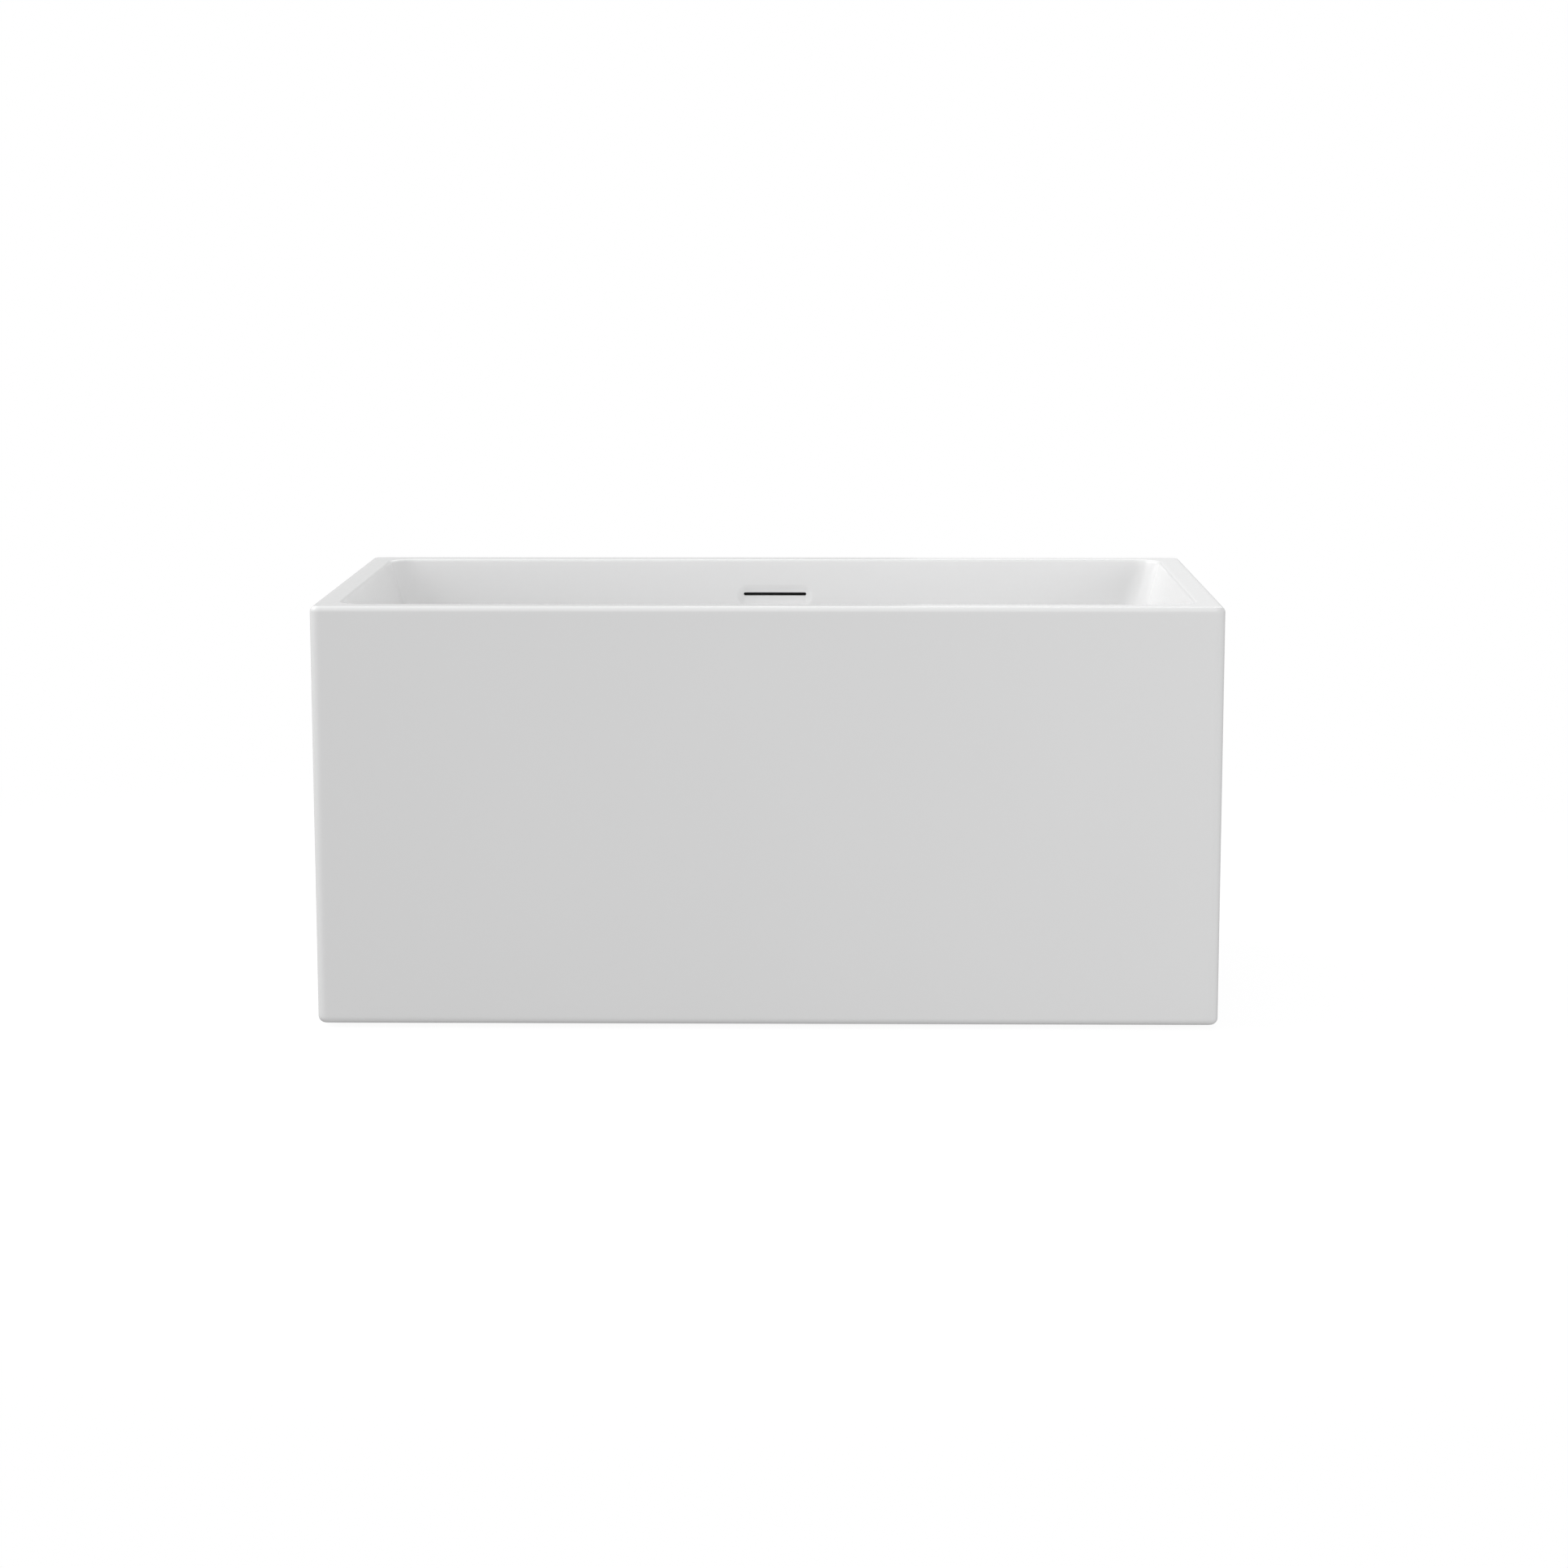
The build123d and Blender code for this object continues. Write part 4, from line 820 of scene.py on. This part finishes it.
for turn in bolt_turns:
    head = turned(bolt_bm, [
        (0.0, -shank), (bolt_radius - 0.0008, -shank), (bolt_radius - 0.0001, -shank + 0.0007),
        *[(bolt_radius, z) for z in evenly(-shank + 0.0008, -0.001, 0.00025)],
        (bolt_radius - 0.0001, 0.0), (bolt_corner - 0.0002, 0.0), (bolt_corner, 0.0002),
        (bolt_corner, bolt_head - 0.0006), (bolt_corner - 0.001, bolt_head), (0.0, bolt_head),
    ], steps=18)
    six_sided([v for v in head if v.co.z > -0.0005], middle, flats)
    threaded([v for v in head if v.co.z < -0.0005], middle, bolt_radius, 0.001)
    bmesh.ops.transform(bolt_bm, matrix=turn, verts=head)
    section = nut_profile(nut_bore, bolt_corner, -shank + bolt_head, -shank + 2 * bolt_head)
    nut = turned(nut_bm, section, ring=True)
    six_sided(nut, middle, flats)
    bmesh.ops.transform(nut_bm, matrix=turn, verts=nut)
plate_top = skirt_low.z + skirt_wall + plate
for x, y in screw_places:
    low, socket = skirt_low.z, 0.002
    screw = turned(screw_bm, [
        (0.0, low + 0.0014), (socket, low + 0.0014), (socket, low),
        (0.0053, low), (0.0056, low + 0.0003),
        (bolt_radius + 0.0001, low + 0.0028),
        *[(bolt_radius, z) for z in evenly(low + 0.003, plate_top + 2 * bolt_head - 0.0008, 0.00025)],
        (bolt_radius - 0.0008, plate_top + 2 * bolt_head), (0.0, plate_top + 2 * bolt_head),
    ], (x, y), steps=18)
    in_socket = [v for v in screw if (v.co.xy - Vector((x, y))).length < 0.0022]
    six_sided([v for v in in_socket if v.co.z < low + 0.0015], (x, y), 0.0034)
    threaded(screw, (x, y), bolt_radius, 0.001)
    section = nut_profile(nut_bore, bolt_corner, plate_top, plate_top + bolt_head)
    nut = turned(nut_bm, section, (x, y), ring=True)
    six_sided(nut, (x, y), flats)
piece_from(bolt_bm, "hexagon_bolts", "root", "zinc", ["bracket_bolts"], bright_zinc)
piece_from(nut_bm, "hexagon_nuts", "root", "zinc", ["bracket_nuts"], bright_zinc)
piece_from(screw_bm, "countersunk_screws", "root", "zinc", ["skirt_screws"], bright_zinc)


# ---- Levelling feet ------------------------------------------------------------------------------
# An M12 stud turns in a nut welded under the tube and is locked by a jam nut. Its button end is
# trapped in a black nylon pad, which stands on a soft rubber sole. Pad and stud rise and fall.
weld_bm, jam_bm = bmesh.new(), bmesh.new()
stud_radius, nut_corner = 0.006, 0.011
under_tube = cross_height - tube / 2
black_rubber = moulded("black_rubber", (0.016, 0.016, 0.016), 0.72, 800.0, 0.0004, 0.1)
for name in ("front_left", "front_right", "back_left", "back_right", "centre"):
    low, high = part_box(f"foot_sole_{name}")
    spot = ((low.x + high.x) / 2, (low.y + high.y) / 2)
    for bm, start, tall in ((weld_bm, under_tube - 0.010, 0.010), (jam_bm, under_tube - 0.016, 0.006)):
        profile = nut_profile(stud_radius + 0.0001, nut_corner, start, start + tall)
        nut = turned(bm, profile, spot, ring=True)
        six_sided(nut, spot, 2 * nut_corner * cos(pi / 6))
    sole_bm = bmesh.new()
    grooves = [(0.0, 0.0)]
    for start in (0.004, 0.0085, 0.013, 0.0175):
        grooves += [
            (start, 0.0), (start + 0.0003, 0.0006), (start + 0.0013, 0.0006), (start + 0.0016, 0.0),
        ]
    turned(sole_bm, [*grooves, (0.0222, 0.0), (0.023, 0.0008), (0.023, 0.003), (0.0, 0.003)], spot, 64)
    foot, stud_body = f"foot_{name}", f"stud_{name}"
    piece_from(sole_bm, f"rubber_sole_{name}", foot, "sole_rubber", [f"foot_sole_{name}"], black_rubber)
    pad_bm = bmesh.new()
    turned(pad_bm, [
        (0.0, 0.0031), (0.0231, 0.0031), (0.0231, 0.0015), (0.0257, 0.0015),
        (0.026, 0.0018), (0.026, 0.0056),
        (0.0257, 0.0063), (0.0242, 0.0078), (0.0236, 0.0081), (0.0168, 0.0098), (0.0159, 0.0106),
        (0.0132, 0.0194), (0.0126, 0.020), (0.0050, 0.020), (0.00458, 0.0196), (0.00458, 0.0121),
        (0.0076, 0.0121), (0.0076, 0.0079), (0.0, 0.0079),
    ], spot, 64)
    piece_from(pad_bm, f"nylon_pad_{name}", foot, "black_plastic", [f"foot_pad_{name}"], black_plastic)
    stud_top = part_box(f"foot_stud_{name}")[1].z
    stud_bm = bmesh.new()
    stud = turned(stud_bm, [
        (0.0, 0.008), (0.0072, 0.008), (0.0075, 0.0083), (0.0075, 0.0117), (0.0072, 0.012),
        (0.0045, 0.012), (0.0045, 0.022), (0.0053, 0.022), (0.0058, 0.0224), (0.0058, 0.0296),
        (0.0053, 0.030), (0.00495, 0.0301),
        *[(stud_radius, z) for z in evenly(0.0306, stud_top - 0.0012, 0.00029)],
        (stud_radius - 0.0012, stud_top), (0.0, stud_top),
    ], spot)
    six_sided([v for v in stud if 0.0219 < v.co.z < 0.03005], spot, 0.010)
    threaded([v for v in stud if v.co.z > 0.0305], spot, stud_radius, 0.00175)
    piece_from(stud_bm, f"threaded_stud_{name}", stud_body, "zinc", [f"foot_stud_{name}"], bright_zinc)
piece_from(weld_bm, "weld_nuts", "root", "zinc", ["foot_weld_nuts"], bright_zinc)
piece_from(jam_bm, "jam_nuts", "root", "zinc", ["foot_jam_nuts"], bright_zinc)


# ---- Drain ---------------------------------------------------------------------------------------
# A chromed brass flange screws down through the floor of the well into a plastic tee, with a rubber
# gasket above and a thick washer below. A tailpiece is held in the tee by a ribbed slip nut.
chrome = plated("polished_chrome", (0.82, 0.83, 0.85), 0.07, 0.02, 0.00002)
low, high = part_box("drain_flange")
bore, barrel, seat = 0.019, 0.0225, high.z - 0.003
flange_bm = bmesh.new()
turned(flange_bm, [
    (bore, low.z + 0.0006), (bore + 0.0006, low.z), (barrel - 0.0006, low.z), (barrel, low.z + 0.0006),
    (barrel, seat), (0.0347, seat), (0.035, seat + 0.0003),
    (0.035, seat + 0.0009), (0.0346, seat + 0.0015),
    (0.0326, seat + 0.0028), (0.0318, high.z), (0.0262, high.z), (0.0252, high.z - 0.0003),
    *[(bore + 0.0062 * (1 - sin(a)), high.z - 0.0005 - 0.0035 * (1 - cos(a))) for a in arc(12, 90, 6)],
], drain, 96, ring=True)
flange = piece_from(flange_bm, "drain_flange_chrome", "root", "chrome", ["drain_flange"], chrome)

spider_low, boss, guide = seat - 0.015, 0.0105, 0.0071
for angle in (0, pi / 2):
    arm_bm = bmesh.new()
    bmesh.ops.create_cube(arm_bm, size=1.0)
    bmesh.ops.bevel(
        arm_bm, geom=arm_bm.edges[:], offset=0.08, segments=2, profile=0.5, affect="EDGES",
        material=-1,
    )
    bmesh.ops.transform(arm_bm, verts=arm_bm.verts[:], matrix=(
        Matrix.Translation((*drain, spider_low + 0.002)) @ Matrix.Rotation(angle, 4, "Z")
        @ Matrix.Diagonal((0.041, 0.004, 0.004, 1.0))
    ))
    combine(flange, arm_bm, "UNION")
boss_bm = bmesh.new()
turned(boss_bm, [
    (0.0, spider_low - 0.0001), (boss - 0.0003, spider_low - 0.0001), (boss, spider_low + 0.0002),
    (boss, spider_low + 0.0039), (boss - 0.0003, spider_low + 0.0041), (0.0, spider_low + 0.0041),
], drain, 48)
combine(flange, boss_bm, "UNION")
guide_bm = bmesh.new()
turned(guide_bm, [
    (0.0, spider_low - 0.002), (guide, spider_low - 0.002),
    (guide, spider_low + 0.006), (0.0, spider_low + 0.006),
], drain, 48)
combine(flange, guide_bm, "DIFFERENCE")
paint(black_rubber, "flange_gasket", "slip_washer", "overflow_gasket", "plug_seal")
grey_plastic = moulded("grey_plastic", (0.52, 0.53, 0.54), 0.4, 900.0, 0.0002, 0.05)
white_plastic = moulded("white_plastic", (0.80, 0.80, 0.79), 0.36, 900.0, 0.0002, 0.03)
paint(white_plastic, "waste_tee", "slip_nut", "under_washer")
paint(grey_plastic, "tailpiece")


# ---- Pop-up plug ---------------------------------------------------------------------------------
# A domed chrome cap with a rubber seal under it rides on a steel stem. The stem slides in a brass
# cartridge screwed into the flange, over a coil spring. The whole plug lifts straight up.
low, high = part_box("plug_cap")
cap_radius, stem_bore = high.x - drain[0], 0.0036
cap_bm = bmesh.new()
dome_steps = (0.0, 0.12, 0.25, 0.38, 0.5, 0.62, 0.74, 0.85, 0.93)
dome = [(cap_radius * share, high.z - 0.0016 * share**2) for share in dome_steps]
turned(cap_bm, [
    (0.0, low.z + 0.0031), (stem_bore, low.z + 0.0031), (stem_bore, low.z), (cap_radius - 0.001, low.z),
    *[(cap_radius - 0.001 * (1 - sin(a)), low.z + 0.001 - 0.001 * cos(a)) for a in arc(18, 90, 4)],
    *[(cap_radius - 0.0014 * (1 - cos(a)), high.z - 0.0032 + 0.0014 * sin(a)) for a in arc(0, 78, 5)],
    *reversed(dome),
], drain, 96)
piece_from(cap_bm, "plug_cap_chrome", "plug", "chrome", ["plug_cap"], chrome)
paint(plated("turned_brass", (0.78, 0.57, 0.24), 0.25, 0.05, 0.00008), "cartridge")
spring_steel = plated("spring_steel", (0.60, 0.61, 0.62), 0.22, 0.05, 0.00005)
paint(spring_steel, "plug_spring", "plug_stem")


# ---- Overflow ------------------------------------------------------------------------------------
# A flat moulded box, screwed to the pad behind the slot on a gasket, takes the water down a
# corrugated hose to the tee's side inlet. Plain cuffs on the hose are held by two sprung clips.
paint(black_plastic, "overflow_box")
paint(bright_zinc, "overflow_box_screws")
paint(spring_steel, "hose_clips")
hose_low, hose_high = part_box("overflow_hose")
hose_radius, hose_bore, hose_bend = 0.014, 0.0111, 0.140
hose_back, hose_front = hose_high.y - hose_radius, hose_low.y
straight_down = hose_high.z - (hose_low.z + hose_radius) - hose_bend
straight_on = hose_back - hose_bend - hose_front
hose_length = straight_down + hose_bend * pi / 2 + straight_on

cuff, pitch = 0.026, 0.0044
waves = round((hose_length - 2 * cuff) / pitch)
pitch = (hose_length - 2 * cuff) / waves
skin = [(hose_radius - 0.0004, 0.0), (hose_radius, 0.0004), (hose_radius, cuff - 0.001)]
for wave in range(waves):
    skin += [(hose_radius - drop, cuff + pitch * (wave + share)) for share, drop in
             ((0.0, 0.0004), (0.14, 0.0016), (0.36, 0.0016), (0.50, 0.0004), (0.64, 0.0), (0.86, 0.0))]
skin += [
    (hose_radius, hose_length - cuff + 0.001), (hose_radius, hose_length - 0.0004),
    (hose_radius - 0.0004, hose_length),
]
hose_bm = bmesh.new()
hose_profile = skin + [(hose_bore, along) for along in evenly(hose_length, 0.0, 0.006)]
turned(hose_bm, hose_profile, steps=28, ring=True)
for vertex in hose_bm.verts:
    along = vertex.co.z
    bend = min(max((along - straight_down) / hose_bend, 0.0), pi / 2)
    run_on = max(along - straight_down - hose_bend * pi / 2, 0.0)
    centre = Vector((
        0.0, hose_back - hose_bend * (1 - cos(bend)) - run_on,
        hose_high.z - min(along, straight_down) - hose_bend * sin(bend),
    ))
    vertex.co = centre + Matrix.Rotation(-bend, 3, "X") @ Vector((vertex.co.x, vertex.co.y, 0.0))
piece_from(hose_bm, "corrugated_hose", "root", "hose_plastic", ["overflow_hose"], grey_plastic)
